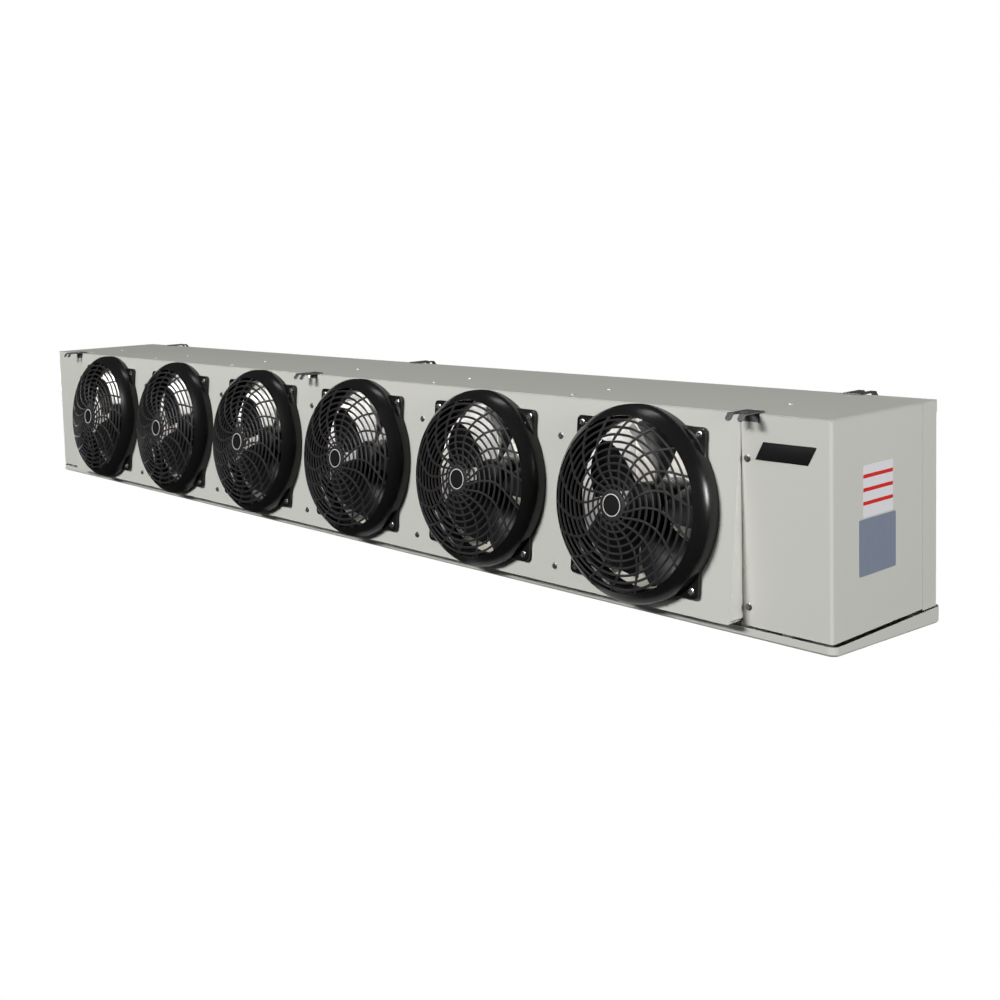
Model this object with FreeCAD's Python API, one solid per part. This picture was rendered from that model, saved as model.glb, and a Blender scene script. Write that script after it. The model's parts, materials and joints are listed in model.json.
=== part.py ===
import FreeCAD, Part
import math
import os
from FreeCAD import Placement, Rotation, Vector

os.makedirs("parts", exist_ok=True)

# Low-profile ceiling-hung unit cooler with six fans, in millimetres.
# The origin is on the plane that the six hanger plates hang from, in the middle of the length
# and midway between the front and back of the cabinet. X runs along the length, air leaves
# towards -Y and Z is up.

# Driving sizes of the cabinet
fan_count = 6
fan_pitch = 406.4
left_end_width = 167.0
right_end_width = 171.0
last_bay_extra = 7.6
cabinet_depth = 330.0
cabinet_height = 360.0
sheet = 1.5
seat_gap = 0.3
seam_gap = 0.5
fold_width = 16.0
cover_corner_radius = 6.0
side_cover_depth = 281.0
top_back_fold = 22.0

# Driving sizes of the tilted fan panel
panel_tilt = 5.7
panel_bottom_gap = 4.765
panel_corner_radius = 7.0
panel_side_fold = 12.0
panel_bottom_fold = 10.0
orifice_radius = 155.0
orifice_collar_depth = 18.0
orifice_sides = 24

# Driving sizes of the fans and motors
fan_radius = 150.0
fan_front_setback = 12.0
fan_blade_depth = 40.0
fan_blades = 5
blade_thickness = 2.0
blade_span_angle = 56.0
blade_sweep_angle = 16.0
hub_radius = 38.0
hub_height = 36.0
hub_sides = 12
blade_camber = 0.16
shaft_radius = 4.0
shaft_clearance = 0.05
shaft_sides = 12
shaft_in_motor = 34.0
motor_radius = 42.0
motor_length = 58.0
motor_sides = 16
motor_boss_radius = 14.0
motor_boss_length = 8.0
motor_gap = 3.0
bracket_arm_width = 18.0
bracket_thickness = 2.5
bracket_plate_radius = 34.0
bracket_foot_length = 24.0

# Driving sizes of the moulded fan guards
guard_ribs = 18
guard_base_radius = 178.0
guard_wall_radius = 176.5
guard_wall_height = 18.0
guard_shoulder_radius = 169.0
guard_shoulder_height = 32.0
guard_band_radius = 160.0
guard_band_height = 42.5
guard_mouth_radius = 157.0
guard_mouth_height = 44.0
guard_ring_radius = 84.0
guard_ring_height = 64.0
guard_hub_radius = 28.0
guard_hub_height = 70.0
guard_wall = 3.0
guard_bar_width = 3.6
guard_hub_twist = -21.0
guard_ring_twist = 2.0
guard_mouth_twist = -15.0
ear_pitch = 269.0
ear_size = 37.0
ear_corner = 10.0
ear_height = 9.0
hub_badge_radius = 22.0
hub_badge_height = 1.5

# Driving sizes of the hangers
hanger_thickness = 3.0
hanger_width = 36.0
hanger_on_top = 18.0
hanger_reach = 36.0
hanger_slot_width = 12.0
hanger_slot_root = 8.0
hanger_tip_run = 9.0
hanger_tip_drop = 11.0
hanger_tip_cut = 3.5
hanger_leg_width = 30.0
hanger_leg_height = 46.0
hanger_from_seam = 17.0
hanger_notch_width = 39.0
hanger_notch_height = 15.0

# Driving sizes of the coil and its pipes
coil_depth = 88.0
coil_from_top = 18.0
coil_from_back = 25.0
coil_from_bottom = 12.0
fin_pack_pitch = 100.0
fin_pack = 4.0
fin_relief = 15.0
tube_radius = 6.35
tube_row_pitch = 38.1
tube_column_pitch = 44.0
bend_leg = 12.0
bend_sides = 6
suction_radius = 11.1
suction_run_radius = 9.55
liquid_radius = 6.35
liquid_run_radius = 4.76
stub_length = 25.0
pipe_sides = 10
valve_radius = 12.0
valve_height = 36.0
pipe_hole_gap = 1.5

# Driving sizes of the drain pan and its hinges
pan_gap = 3.5
pan_overhang = 6.0
pan_front_overhang = 3.0
pan_front_depth = 16.0
pan_back_depth = 30.0
pan_corner_radius = 16.0
pan_edge_fold = 3.5
pan_sheet = 1.5
hinge_pin_radius = 2.0
hinge_pin_gap = 0.05
hinge_pin_sides = 10
hinge_width = 40.0
hinge_ear = 2.0
hinge_ear_half = 4.5
hinge_axis_out = 7.0
hinge_foot_height = 18.0
hinge_count = 3
rim_clearance = 2.5
drain_radius = 13.3
drain_bore = 10.0
drain_bore_sides = 16
drain_length = 26.0
drain_from_end = 120.0

# Driving sizes of small pieces
screw_head_across = 10.0
screw_head_height = 4.0
panel_screw_from_top = 75.0
panel_screw_from_bottom = 34.0
cover_screw_from_seam = 12.0
cover_screw_from_top = 76.3
cover_screw_from_bottom = 32.4
rivet_radius = 4.0
rivet_height = 2.0
rivet_from_front = 28.0
rivet_spacing = 104.0
badge_from_seam = 28.0
badge_from_top = 46.1
badge_width = 100.0
badge_height = 30.5
badge_slant = 16.0
badge_thickness = 1.0
conduit_hole_radius = 11.15
terminal_box_depth = 60.0
terminal_box_width = 120.0
terminal_box_height = 160.0
terminal_bays = 8
terminal_bay = 12.0
terminal_rib = 2.0

# Places that follow from the driving sizes
length = fan_count * fan_pitch + last_bay_extra + left_end_width + right_end_width
x_left = -length / 2
x_right = length / 2
left_seam = x_left + left_end_width
right_seam = x_right - right_end_width
y_front = -cabinet_depth / 2
y_back = cabinet_depth / 2
z_top = -hanger_thickness
z_under_top = z_top - sheet - seat_gap
z_bottom = z_top - cabinet_height
fan_places = [left_seam + (index + 0.5) * fan_pitch for index in range(fan_count)]
bay_lines = [place + fan_pitch / 2 for place in fan_places[:-1]]
middle_line = bay_lines[fan_count // 2 - 1]
tilt = math.radians(panel_tilt)
panel_height = (cabinet_height - panel_bottom_gap) / math.cos(tilt)
coil_back = y_back - coil_from_back
coil_front = coil_back - coil_depth
coil_bottom = z_bottom + coil_from_bottom
coil_height = cabinet_height - coil_from_bottom - coil_from_top
tube_rows_high = int(coil_height / tube_row_pitch)
hanger_lines = [left_seam - hanger_from_seam, middle_line + sheet + 4.0, right_seam + hanger_from_seam]
motor_front = -(fan_front_setback + fan_blade_depth + motor_gap)


def solid_from(points, height, direction=Vector(0, 0, 1)):
    """Closed flat outline pushed along a direction."""
    wire = Part.makePolygon(points + [points[0]])
    return Part.Face(wire).extrude(direction.normalize() * height)


def block(x_low, x_high, y_low, y_high, z_low, z_high):
    """Rectangular cutter or plate between six planes."""
    corner = Vector(min(x_low, x_high), min(y_low, y_high), min(z_low, z_high))
    return Part.makeBox(abs(x_high - x_low), abs(y_high - y_low), abs(z_high - z_low), corner)


def folded(points, wall, side):
    """Outline of a folded strip: an open run of points given a wall on one side."""
    inner = []
    for index, point in enumerate(points):
        before = points[max(index - 1, 0)]
        after = points[min(index + 1, len(points) - 1)]
        into = (point[0] - before[0], point[1] - before[1])
        out = (after[0] - point[0], after[1] - point[1])
        if index == 0:
            into = out
        if index == len(points) - 1:
            out = into
        into_length = math.hypot(into[0], into[1])
        out_length = math.hypot(out[0], out[1])
        normal_in = (-into[1] / into_length, into[0] / into_length)
        normal_out = (-out[1] / out_length, out[0] / out_length)
        miter = 1 + normal_in[0] * normal_out[0] + normal_in[1] * normal_out[1]
        across = wall * side / miter
        inner.append((point[0] + (normal_in[0] + normal_out[0]) * across,
                      point[1] + (normal_in[1] + normal_out[1]) * across))
    return list(points) + inner[::-1]


def plan_sheet(points, wall, side, z_low, z_high):
    """Folded sheet whose outline is drawn in plan and that stands from z_low to z_high."""
    outline = [Vector(x, y, z_low) for x, y in folded(points, wall, side)]
    return solid_from(outline, z_high - z_low)


def profile_sheet(points, wall, side, x_low, x_high):
    """Folded sheet whose outline is drawn across the unit and that runs along X."""
    outline = [Vector(x_low, y, z) for y, z in folded(points, wall, side)]
    return solid_from(outline, x_high - x_low, Vector(1, 0, 0))


def on_panel(shape, x=0.0, down=0.0):
    """Place a shape drawn on the fan panel: x along it, y up its slope and z out of it."""
    drop = Vector(0, -math.sin(tilt), -math.cos(tilt)) * down
    start = Vector(x, y_front, z_top) + drop
    placed = shape.copy()
    placed.Placement = Placement(start, Rotation(Vector(1, 0, 0), 90 - panel_tilt)).multiply(shape.Placement)
    return placed


def at_fan(shape, index):
    """Place a shape drawn on a fan's axis, with z out of the panel's front face."""
    return on_panel(shape, fan_places[index], panel_height / 2)


def circle_points(sides, radius, z, turn=0.0):
    """Corners of a regular outline round the Z axis."""
    points = []
    for index in range(sides):
        angle = math.radians(turn + 360.0 * index / sides)
        points.append(Vector(radius * math.cos(angle), radius * math.sin(angle), z))
    return points


def prism(sides, radius, height, low=0.0, turn=0.0):
    """Regular prism that stands on z = low."""
    return solid_from(circle_points(sides, radius, low, turn), height)


def skinned(rings):
    """Closed solid with flat faces between rings that have the same number of corners."""
    faces = [Part.Face(Part.makePolygon(rings[0] + [rings[0][0]])),
             Part.Face(Part.makePolygon(rings[-1] + [rings[-1][0]]))]
    for lower, upper in zip(rings[:-1], rings[1:]):
        count = len(lower)
        for index in range(count):
            after = (index + 1) % count
            corners = [lower[index], lower[after], upper[after], upper[index], lower[index]]
            faces.append(Part.Face(Part.makePolygon(corners)))
    solid = Part.Solid(Part.Shell(faces))
    if solid.Volume < 0:
        solid.reverse()
    return solid


def mitred_tube(points, radius, sides):
    """Many-sided tube along straight runs, mitred where they meet."""
    first = (points[1] - points[0]).normalize()
    turn = Rotation(Vector(0, 0, 1), first)
    ring = [points[0] + turn.multVec(corner) for corner in circle_points(sides, radius, 0.0, 180.0 / sides)]
    rings = [ring]
    for index in range(1, len(points)):
        along = (points[index] - points[index - 1]).normalize()
        normal = along
        if index < len(points) - 1:
            normal = (along + (points[index + 1] - points[index]).normalize()).normalize()
        moved = []
        for corner in rings[-1]:
            travel = (points[index] - corner).dot(normal) / along.dot(normal)
            moved.append(corner + along * travel)
        rings.append(moved)
    return skinned(rings)


def panel_line_y(z, behind=0.0):
    """Y of a plane that lies behind the tilted panel's front face, at a height z."""
    return y_front - (z_top - z) * math.tan(tilt) + behind / math.cos(tilt)


def joined(shapes):
    """One solid from touching or crossing shapes, with its flat faces merged."""
    whole = shapes[0].fuse(shapes[1:]) if len(shapes) > 1 else shapes[0]
    return whole.removeSplitter()


def save(name, shape):
    shape.exportStep("parts/" + name + ".step")


# Cabinet shell
def hanger_gap(x, front):
    """Cutter for the gap that a hanger leg passes through at the top edge of the cabinet."""
    y_edge = y_front if front else y_back
    inward = 1 if front else -1
    half = hanger_notch_width / 2
    return block(x - half, x + half, y_edge - inward, y_edge + inward * 11.0,
                 z_top - hanger_notch_height, z_top + 1)


def top_panel():
    run = [(y_front, z_top), (y_back, z_top), (y_back, z_top - top_back_fold)]
    panel = profile_sheet(run, sheet, -1, x_left, x_right)
    gaps = [hanger_gap(x, front) for x in hanger_lines for front in (True, False)]
    return panel.cut(gaps)


def end_cover(side, seam):
    """Wrap-round cover of one end compartment, with its rounded front corner."""
    x_end = side * length / 2
    x_edge = seam + side * seam_gap
    run = [(x_edge, y_front), (x_end, y_front), (x_end, y_front + side_cover_depth)]
    cover = plan_sheet(run, sheet, side, z_bottom, z_under_top)
    outside = upright_at(cover, x_end, y_front)
    cover = cover.makeFillet(cover_corner_radius, outside)
    inside = upright_at(cover, x_end - side * sheet, y_front + sheet)
    cover = cover.makeFillet(cover_corner_radius - sheet, inside)
    return cover.cut(hanger_gap(seam + side * hanger_from_seam, True))


def upright_at(shape, x, y):
    """Upright edges of a shape at one place in plan."""
    found = []
    for edge in shape.Edges:
        place = edge.CenterOfMass
        upright = edge.BoundBox.XLength < 0.01 and edge.BoundBox.YLength < 0.01
        if upright and math.hypot(place.x - x, place.y - y) < 0.01:
            found.append(edge)
    return found


def rear_corner(side, seam):
    """Back corner post: a strip of the side, a fold and the back of the compartment."""
    x_end = side * length / 2
    y_rear = y_back - sheet - seat_gap
    run = [(x_end, y_front + side_cover_depth + seam_gap), (x_end, y_rear),
           (seam + side * fold_width, y_rear)]
    corner = plan_sheet(run, sheet, side, z_bottom - pan_gap + seat_gap, z_under_top)
    return corner


def pipe_hole(x, z, radius):
    """Cutter along Y through the back of the cabinet."""
    return Part.makeCylinder(radius, 20.0, Vector(x, y_back - 15.0, z), Vector(0, 1, 0))


def end_plate(side, seam):
    """Bulkhead at one end of the coil, folded outwards at its front and back edges."""
    x_inner = seam - side * 0.2
    x_fold = seam + side * fold_width
    y_near = y_front + sheet + seat_gap
    y_far = y_back - 2 * (sheet + seat_gap)
    run = [(x_fold, y_near), (x_inner, y_near), (x_inner, y_far), (x_fold, y_far)]
    plate = plan_sheet(run, sheet, -side, z_bottom + pan_gap, z_under_top)
    return plate.cut(leg_slots(seam + side * hanger_from_seam))


def leg_slots(x):
    """Cutters that keep a bulkhead clear of the hanger legs at its two top corners."""
    half = hanger_leg_width / 2 + 1
    slots = []
    for front in (True, False):
        y_near, y_far = leg_span(front)
        slots.append(block(x - half, x + half, y_near - seat_gap, y_far + seat_gap,
                           z_top - hanger_leg_height - 1, z_top))
    return slots


def leg_span(front):
    """Y range of the hanger legs, just inside the folds of the bulkheads."""
    inset = sheet + 2 * seat_gap + sheet
    if front:
        return y_front + inset, y_front + inset + hanger_thickness
    inset = inset + sheet + seat_gap
    return y_back - inset - hanger_thickness, y_back - inset


def bulkhead_web(x, y_far):
    """Upright plate across the cabinet whose front edge follows the tilted panel."""
    behind = sheet + seat_gap
    z_low = z_bottom + pan_gap + sheet + 12.0
    z_high = z_under_top
    outline = [Vector(x, panel_line_y(z_low, behind), z_low), Vector(x, y_far, z_low),
               Vector(x, y_far, z_high), Vector(x, y_front + 12.0, z_high),
               Vector(x, panel_line_y(z_high - 20.0, behind), z_high - 20.0)]
    web = solid_from(outline, sheet, Vector(1, 0, 0))
    fold_points = [Vector(x, panel_line_y(z_low, behind), z_low),
                   Vector(x, panel_line_y(z_low, behind + sheet), z_low),
                   Vector(x, panel_line_y(z_high - 20.0, behind + sheet), z_high - 20.0),
                   Vector(x, panel_line_y(z_high - 20.0, behind), z_high - 20.0)]
    front_fold = solid_from(fold_points, fold_width, Vector(1, 0, 0))
    top_fold = block(x, x + fold_width, y_front + 12.0, y_far, z_high - sheet, z_high)
    return [web, front_fold, top_fold]


def bay_partition(x):
    """Plate between two fans, which stops one fan from drawing air past the next."""
    return joined(bulkhead_web(x, coil_front - seat_gap))


def centre_plate():
    """Full-depth plate under the middle hangers, which also carries the two halves of the coil."""
    y_far = y_back - 2 * (sheet + seat_gap)
    pieces = bulkhead_web(middle_line, y_far)
    z_low = z_bottom + pan_gap + sheet + 12.0
    pieces.append(block(middle_line, middle_line + fold_width, y_far - sheet, y_far, z_low, z_under_top))
    return joined(pieces).cut(leg_slots(hanger_lines[1]))


def rear_sill():
    """Folded rail along the bottom of the coil, between the two end bulkheads."""
    y_face = y_back - sheet - seat_gap
    z_low = z_bottom
    run = [(coil_front, coil_bottom - seat_gap), (y_face, coil_bottom - seat_gap), (y_face, z_low),
           (y_face - 12.0, z_low)]
    inner_left = left_seam + sheet + fold_width
    inner_right = right_seam - sheet - fold_width
    return profile_sheet(run, sheet, -1, inner_left, inner_right)


# Fan panel
def fan_panel():
    """Tilted front sheet with six fan openings, side wedges, a top fold and a bottom lip."""
    low = left_seam + seam_gap
    high = right_seam - seam_gap
    radius = panel_corner_radius
    bottom = -panel_height
    top = -sheet - seat_gap
    corner = radius * (1 - math.sqrt(0.5))
    face_edges = [
        Part.makeLine(Vector(low, top, 0), Vector(high, top, 0)),
        Part.makeLine(Vector(high, top, 0), Vector(high, bottom + radius, 0)),
        Part.Arc(Vector(high, bottom + radius, 0), Vector(high - corner, bottom + corner, 0),
                 Vector(high - radius, bottom, 0)).toShape(),
        Part.makeLine(Vector(high - radius, bottom, 0), Vector(low + radius, bottom, 0)),
        Part.Arc(Vector(low + radius, bottom, 0), Vector(low + corner, bottom + corner, 0),
                 Vector(low, bottom + radius, 0)).toShape(),
        Part.makeLine(Vector(low, bottom + radius, 0), Vector(low, top, 0))]
    face = Part.Face(Part.Wire(face_edges)).extrude(Vector(0, 0, -sheet))
    sheet_face = on_panel(face)
    z_low = z_top - panel_height * math.cos(tilt)
    y_low = panel_line_y(z_low)
    z_high = z_under_top - 20.0
    wedge_points = [(y_low + 1.0, z_low + radius), (y_front + panel_side_fold, z_low + radius),
                    (y_front + panel_side_fold, z_high), (panel_line_y(z_high) + 1.0, z_high)]
    pieces = [sheet_face]
    for x in (low, high - sheet):
        outline = [Vector(x, y, z) for y, z in wedge_points]
        pieces.append(solid_from(outline, sheet, Vector(1, 0, 0)))
    lip_low = [(y_low + 0.4, z_low), (y_front + panel_bottom_fold, z_low)]
    pieces.append(profile_sheet(lip_low, sheet, 1, low + radius, high - radius))
    top_fold = [(y_front + 0.6, z_under_top), (y_front + 30.0, z_under_top)]
    pieces.append(profile_sheet(top_fold, sheet, -1, low + 40.0, high - 40.0))
    panel = joined(pieces)
    openings = []
    collars = []
    back = -sheet - orifice_collar_depth
    ring = prism(orifice_sides, orifice_radius + sheet, orifice_collar_depth, back)
    hole = prism(orifice_sides, orifice_radius, orifice_collar_depth + 2 * sheet, back)
    for index in range(fan_count):
        openings.append(at_fan(hole, index))
        collars.append(at_fan(ring.cut(hole), index))
    panel = panel.cut(openings)
    panel = panel.fuse(collars)
    gaps = [hanger_gap(x, True) for x in hanger_lines]
    # The partitions' top folds pass under the panel's own top fold, which is notched for them.
    for x in bay_lines:
        gaps.append(block(x - 3.0, x + fold_width + 3.0, y_front + 9.0, y_front + 31.0,
                          z_under_top - 3 * sheet, z_top))
    return panel.cut(gaps).removeSplitter()


# Fans, motors and their brackets
def blade(turn):
    """Swept and pitched blade between the hub and the tip, folded once along its middle for camber."""
    rows = []
    for radius, sweep, span in ((hub_radius - 3.0, 0.0, 0.8 * blade_span_angle),
                                (fan_radius, blade_sweep_angle, blade_span_angle)):
        for side in (0.0, blade_thickness):
            row = []
            for share in (0.0, 0.5, 1.0):
                angle = math.radians(turn + sweep + (share - 0.5) * span)
                camber = blade_camber * fan_blade_depth * (1.0 - abs(2.0 * share - 1.0))
                drop = share * (fan_blade_depth - blade_thickness) - camber + side
                height = -fan_front_setback - blade_camber * fan_blade_depth - drop
                row.append(Vector(radius * math.cos(angle), radius * math.sin(angle), height))
            rows.append(row)
    root_upper, root_lower, tip_upper, tip_lower = rows
    quads = []
    for column in (0, 1):
        quads.append((root_upper[column], tip_upper[column], tip_upper[column + 1], root_upper[column + 1]))
        quads.append((root_lower[column], root_lower[column + 1], tip_lower[column + 1], tip_lower[column]))
        quads.append((root_upper[column], root_upper[column + 1], root_lower[column + 1], root_lower[column]))
        quads.append((tip_upper[column + 1], tip_upper[column], tip_lower[column], tip_lower[column + 1]))
    for column in (0, 2):
        quads.append((root_upper[column], root_lower[column], tip_lower[column], tip_upper[column]))
    triangles = []
    for a, b, c, d in quads:
        triangles.append(Part.Face(Part.makePolygon([a, b, c, a])))
        triangles.append(Part.Face(Part.makePolygon([a, c, d, a])))
    shell = Part.Shell(triangles)
    shell.sewShape()
    solid = Part.Solid(shell)
    if solid.Volume < 0:
        solid.reverse()
    return solid


def fan_wheel():
    """One-piece fan wheel with its domed hub and steel shaft."""
    nose = -fan_front_setback + 4.0
    shoulder = -fan_front_setback - 4.0
    low = shoulder - hub_height
    hub = skinned([circle_points(hub_sides, hub_radius, low), circle_points(hub_sides, hub_radius, shoulder),
                   circle_points(hub_sides, hub_radius * 0.7, nose)])
    blades = [blade(360.0 * index / fan_blades) for index in range(fan_blades)]
    shaft_low = motor_front - shaft_in_motor
    shaft = prism(shaft_sides, shaft_radius, low + 6.0 - shaft_low, shaft_low)
    return hub.fuse(blades + [shaft]).removeSplitter()


def motor():
    """Round fan motor with a bearing boss in front and the shaft's bore."""
    case_front = motor_front - motor_boss_length
    case_back = case_front - motor_length
    case = prism(motor_sides, motor_radius, motor_length, case_back)
    boss = prism(12, motor_boss_radius, motor_boss_length, case_front)
    bore_depth = shaft_in_motor + 1.0
    bore_radius = (shaft_radius + shaft_clearance) / math.cos(math.pi / shaft_sides)
    bore = prism(shaft_sides, bore_radius, bore_depth, motor_front - bore_depth)
    return joined([case, boss]).cut(bore)


def motor_bracket():
    """Four-armed strap bracket from the motor's back to the four corner screws of the guard."""
    back = motor_front - motor_boss_length - motor_length
    ear_radius = ear_pitch / math.sqrt(2)
    leg_outer = ear_radius - bracket_foot_length / 2 + bracket_thickness
    run = [(bracket_plate_radius - 8.0, back), (leg_outer, back), (leg_outer, -sheet - seat_gap),
           (leg_outer + bracket_foot_length, -sheet - seat_gap)]
    outline = folded(run, bracket_thickness, -1)
    pieces = [prism(16, bracket_plate_radius, bracket_thickness, back - bracket_thickness)]
    half = bracket_arm_width / 2
    for index in range(4):
        arm = solid_from([Vector(x, -half, z) for x, z in outline], bracket_arm_width, Vector(0, 1, 0))
        arm.rotate(Vector(0, 0, 0), Vector(0, 0, 1), 45 + 90 * index)
        pieces.append(arm)
    return joined(pieces)


# Moulded fan guard
def guard_point(radius, height, index, twist):
    """Point of the guard that belongs to one of its ribs."""
    angle = math.radians(twist + 360.0 * index / guard_ribs)
    return Vector(radius * math.cos(angle), radius * math.sin(angle), height)


def guard_height(radius):
    """Height of the dome's outer face between hub, ring and mouth."""
    levels = [(guard_hub_radius, guard_hub_height), (guard_ring_radius, guard_ring_height),
              (guard_mouth_radius, guard_mouth_height)]
    low, high = levels[:2] if radius < guard_ring_radius else levels[1:]
    share = max(0.0, (radius - low[0]) / (high[0] - low[0]))
    return low[1] + (high[1] - low[1]) * share


def grille_loop(radius, twist, drop):
    """Corners beside the ribs at one radius: for each rib its right and its left side."""
    half = math.degrees(guard_bar_width / 2 / radius)
    height = guard_height(radius) - drop
    loop = []
    for index in range(guard_ribs):
        loop.append(guard_point(radius, height, index, twist - half))
        loop.append(guard_point(radius, height, index, twist + half))
    return loop


def ring_loop(radius, height):
    """Corners of one many-sided ring of the guard's wall, one for each rib."""
    return [guard_point(radius, height, index, guard_mouth_twist) for index in range(guard_ribs)]


def grille_skin(loops, edge_ring):
    """Triangles of one face of the grille: hub, ribs, ring and mouth, open at the windows."""
    hub_disc = [loops[0] + [loops[0][0]]]
    sides = 2 * guard_ribs
    strips = []
    for band, (inner, outer) in enumerate(zip(loops[:-1], loops[1:])):
        for corner in range(sides):
            after = (corner + 1) % sides
            on_rib = corner % 2 == 0
            on_ring = band == 1
            if on_rib or on_ring:
                strips.append([inner[corner], inner[after], outer[after], outer[corner]])
    last = loops[-1]
    for index in range(guard_ribs):
        after = (index + 1) % guard_ribs
        strips.append([last[2 * index], last[2 * index + 1], edge_ring[index]])
        strips.append([last[2 * index + 1], last[2 * after], edge_ring[after], edge_ring[index]])
    return hub_disc, strips


def window_walls(upper, lower):
    """Walls of the windows between two loops of one grille face and the same loops of the other."""
    walls = []
    sides = 2 * guard_ribs
    for index in range(guard_ribs):
        left = 2 * index + 1
        right = (2 * index + 2) % sides
        rim = [(0, left), (0, right), (1, right), (1, left)]
        for (level, corner), (next_level, next_corner) in zip(rim, rim[1:] + rim[:1]):
            walls.append([upper[level][corner], upper[next_level][next_corner],
                          lower[next_level][next_corner], lower[level][corner]])
    return walls


def wall_strips(rings):
    """Quads between successive rings of the guard's wall."""
    strips = []
    for lower, upper in zip(rings[:-1], rings[1:]):
        for index in range(guard_ribs):
            after = (index + 1) % guard_ribs
            strips.append([lower[index], lower[after], upper[after], upper[index]])
    return strips


def sewn(polygons, quads):
    """Solid from flat polygons and from quads that may be bent along a diagonal."""
    faces = [Part.Face(Part.makePolygon(points)) for points in polygons]
    for quad in quads:
        faces.append(Part.Face(Part.makePolygon([quad[0], quad[1], quad[2], quad[0]])))
        if len(quad) == 4:
            faces.append(Part.Face(Part.makePolygon([quad[0], quad[2], quad[3], quad[0]])))
    shell = Part.Shell(faces)
    shell.sewShape()
    solid = Part.Solid(shell)
    if solid.Volume < 0:
        solid.reverse()
    return solid


def guard_ear(x_side, y_side):
    """Corner ear that reaches from the guard's wall to its screw."""
    half = ear_size / 2
    outer = ear_pitch / 2 + half
    sweep = guard_base_radius * math.sin(math.radians(27.0))
    foot = guard_base_radius * math.cos(math.radians(27.0)) - guard_wall
    outline = [(foot, sweep), (outer - 3.0, ear_pitch / 2 - half), (outer, outer - ear_corner),
               (outer - ear_corner, outer), (ear_pitch / 2 - half, outer - 3.0), (sweep, foot)]
    points = [Vector(x * x_side, y * y_side, 0) for x, y in outline]
    return solid_from(points, ear_height)


def fan_guard():
    """Domed guard: a wall on a flange with four ears, a mouth ring, leaning ribs, a ring and a hub disc."""
    bar = guard_bar_width / 2
    places = [(guard_hub_radius, guard_hub_twist), (guard_ring_radius - bar, guard_ring_twist),
              (guard_ring_radius + bar, guard_ring_twist), (guard_mouth_radius, guard_mouth_twist)]
    upper = [grille_loop(radius, twist, 0.0) for radius, twist in places]
    lower = [grille_loop(radius, twist, guard_wall) for radius, twist in places]
    outside = [ring_loop(guard_base_radius, 0.0), ring_loop(guard_wall_radius, guard_wall_height),
               ring_loop(guard_shoulder_radius, guard_shoulder_height),
               ring_loop(guard_band_radius, guard_band_height)]
    inside = [ring_loop(guard_base_radius - guard_wall, 0.0),
              ring_loop(guard_wall_radius - guard_wall, guard_wall_height - guard_wall),
              ring_loop(guard_band_radius, guard_band_height - 1.5 * guard_wall)]
    upper_disc, upper_strips = grille_skin(upper, outside[-1])
    lower_disc, lower_strips = grille_skin(lower, inside[-1])
    quads = upper_strips + lower_strips + wall_strips(outside) + wall_strips(inside)
    quads += wall_strips([outside[0], inside[0]])
    quads += window_walls(upper[:2], lower[:2]) + window_walls(upper[2:], lower[2:])
    body = sewn(upper_disc + lower_disc, quads)
    well = guard_stack([(guard_base_radius - guard_wall, -1.0), (guard_base_radius - guard_wall, 0.0),
                        (guard_wall_radius - guard_wall, guard_wall_height - guard_wall)])
    ears = [guard_ear(x_side, y_side).cut(well) for x_side, y_side in ((1, 1), (-1, 1), (-1, -1), (1, -1))]
    return body.fuse(ears).removeSplitter()


def guard_stack(levels):
    """Closed many-sided stack with the guard's corners."""
    return skinned([ring_loop(radius, height) for radius, height in levels])


# Hangers
def hanger(x, front):
    """Flat hanger plate with two bent prongs, an open rod slot and a leg inside the cabinet."""
    half = hanger_width / 2
    slot = hanger_slot_width / 2
    run = [(y_front + hanger_on_top, 0.0), (y_front - hanger_reach, 0.0),
           (y_front - hanger_reach - hanger_tip_run, -hanger_tip_drop)]
    plate = profile_sheet(run, hanger_thickness, 1, x - half, x + half)
    tip = y_front - hanger_reach - hanger_tip_run - 5.0
    slot_end = y_front - hanger_slot_root - slot
    gap = block(x - slot, x + slot, tip, slot_end, -hanger_tip_drop - 10.0, 1.0)
    root = prism(12, slot, hanger_tip_drop, -hanger_tip_drop + 1.0)
    root.translate(Vector(x, slot_end, 0))
    plate = plate.cut([gap, root])
    tip_edges = []
    for edge in plate.Edges:
        place = edge.CenterOfMass
        across = edge.BoundBox.XLength < 0.01 and abs(edge.Length - hanger_thickness) < 0.5
        if across and place.y < y_front - hanger_reach - hanger_tip_run / 2:
            tip_edges.append(edge)
    plate = plate.makeChamfer(hanger_tip_cut, tip_edges)
    y_near, y_far = leg_span(True)
    half_leg = hanger_leg_width / 2
    leg = block(x - half_leg, x + half_leg, y_near, y_far, z_top - hanger_leg_height, z_top)
    whole = plate.fuse(leg).removeSplitter()
    if front:
        return whole
    turned = whole.mirror(Vector(0, 0, 0), Vector(0, 1, 0))
    shift = leg_span(False)[0] - (-y_far)
    leg_only = block(x - half_leg, x + half_leg, -y_far - 1, -y_near + 1,
                     z_top - hanger_leg_height - 1, z_top)
    plate_back = turned.cut(leg_only)
    leg_back = leg.mirror(Vector(0, 0, 0), Vector(0, 1, 0))
    leg_back.translate(Vector(0, shift, 0))
    return plate_back.fuse(leg_back).removeSplitter()


# Coil, pipes and valve
def coil_blocks():
    """Two halves of the finned coil, each standing for its fins and the tubes in them."""
    left_half = coil_block(left_seam + 0.2 + seat_gap, middle_line - seat_gap)
    right_half = coil_block(middle_line + sheet + seat_gap, right_seam - 0.2 - seat_gap)
    return Part.makeCompound([left_half, right_half])


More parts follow.
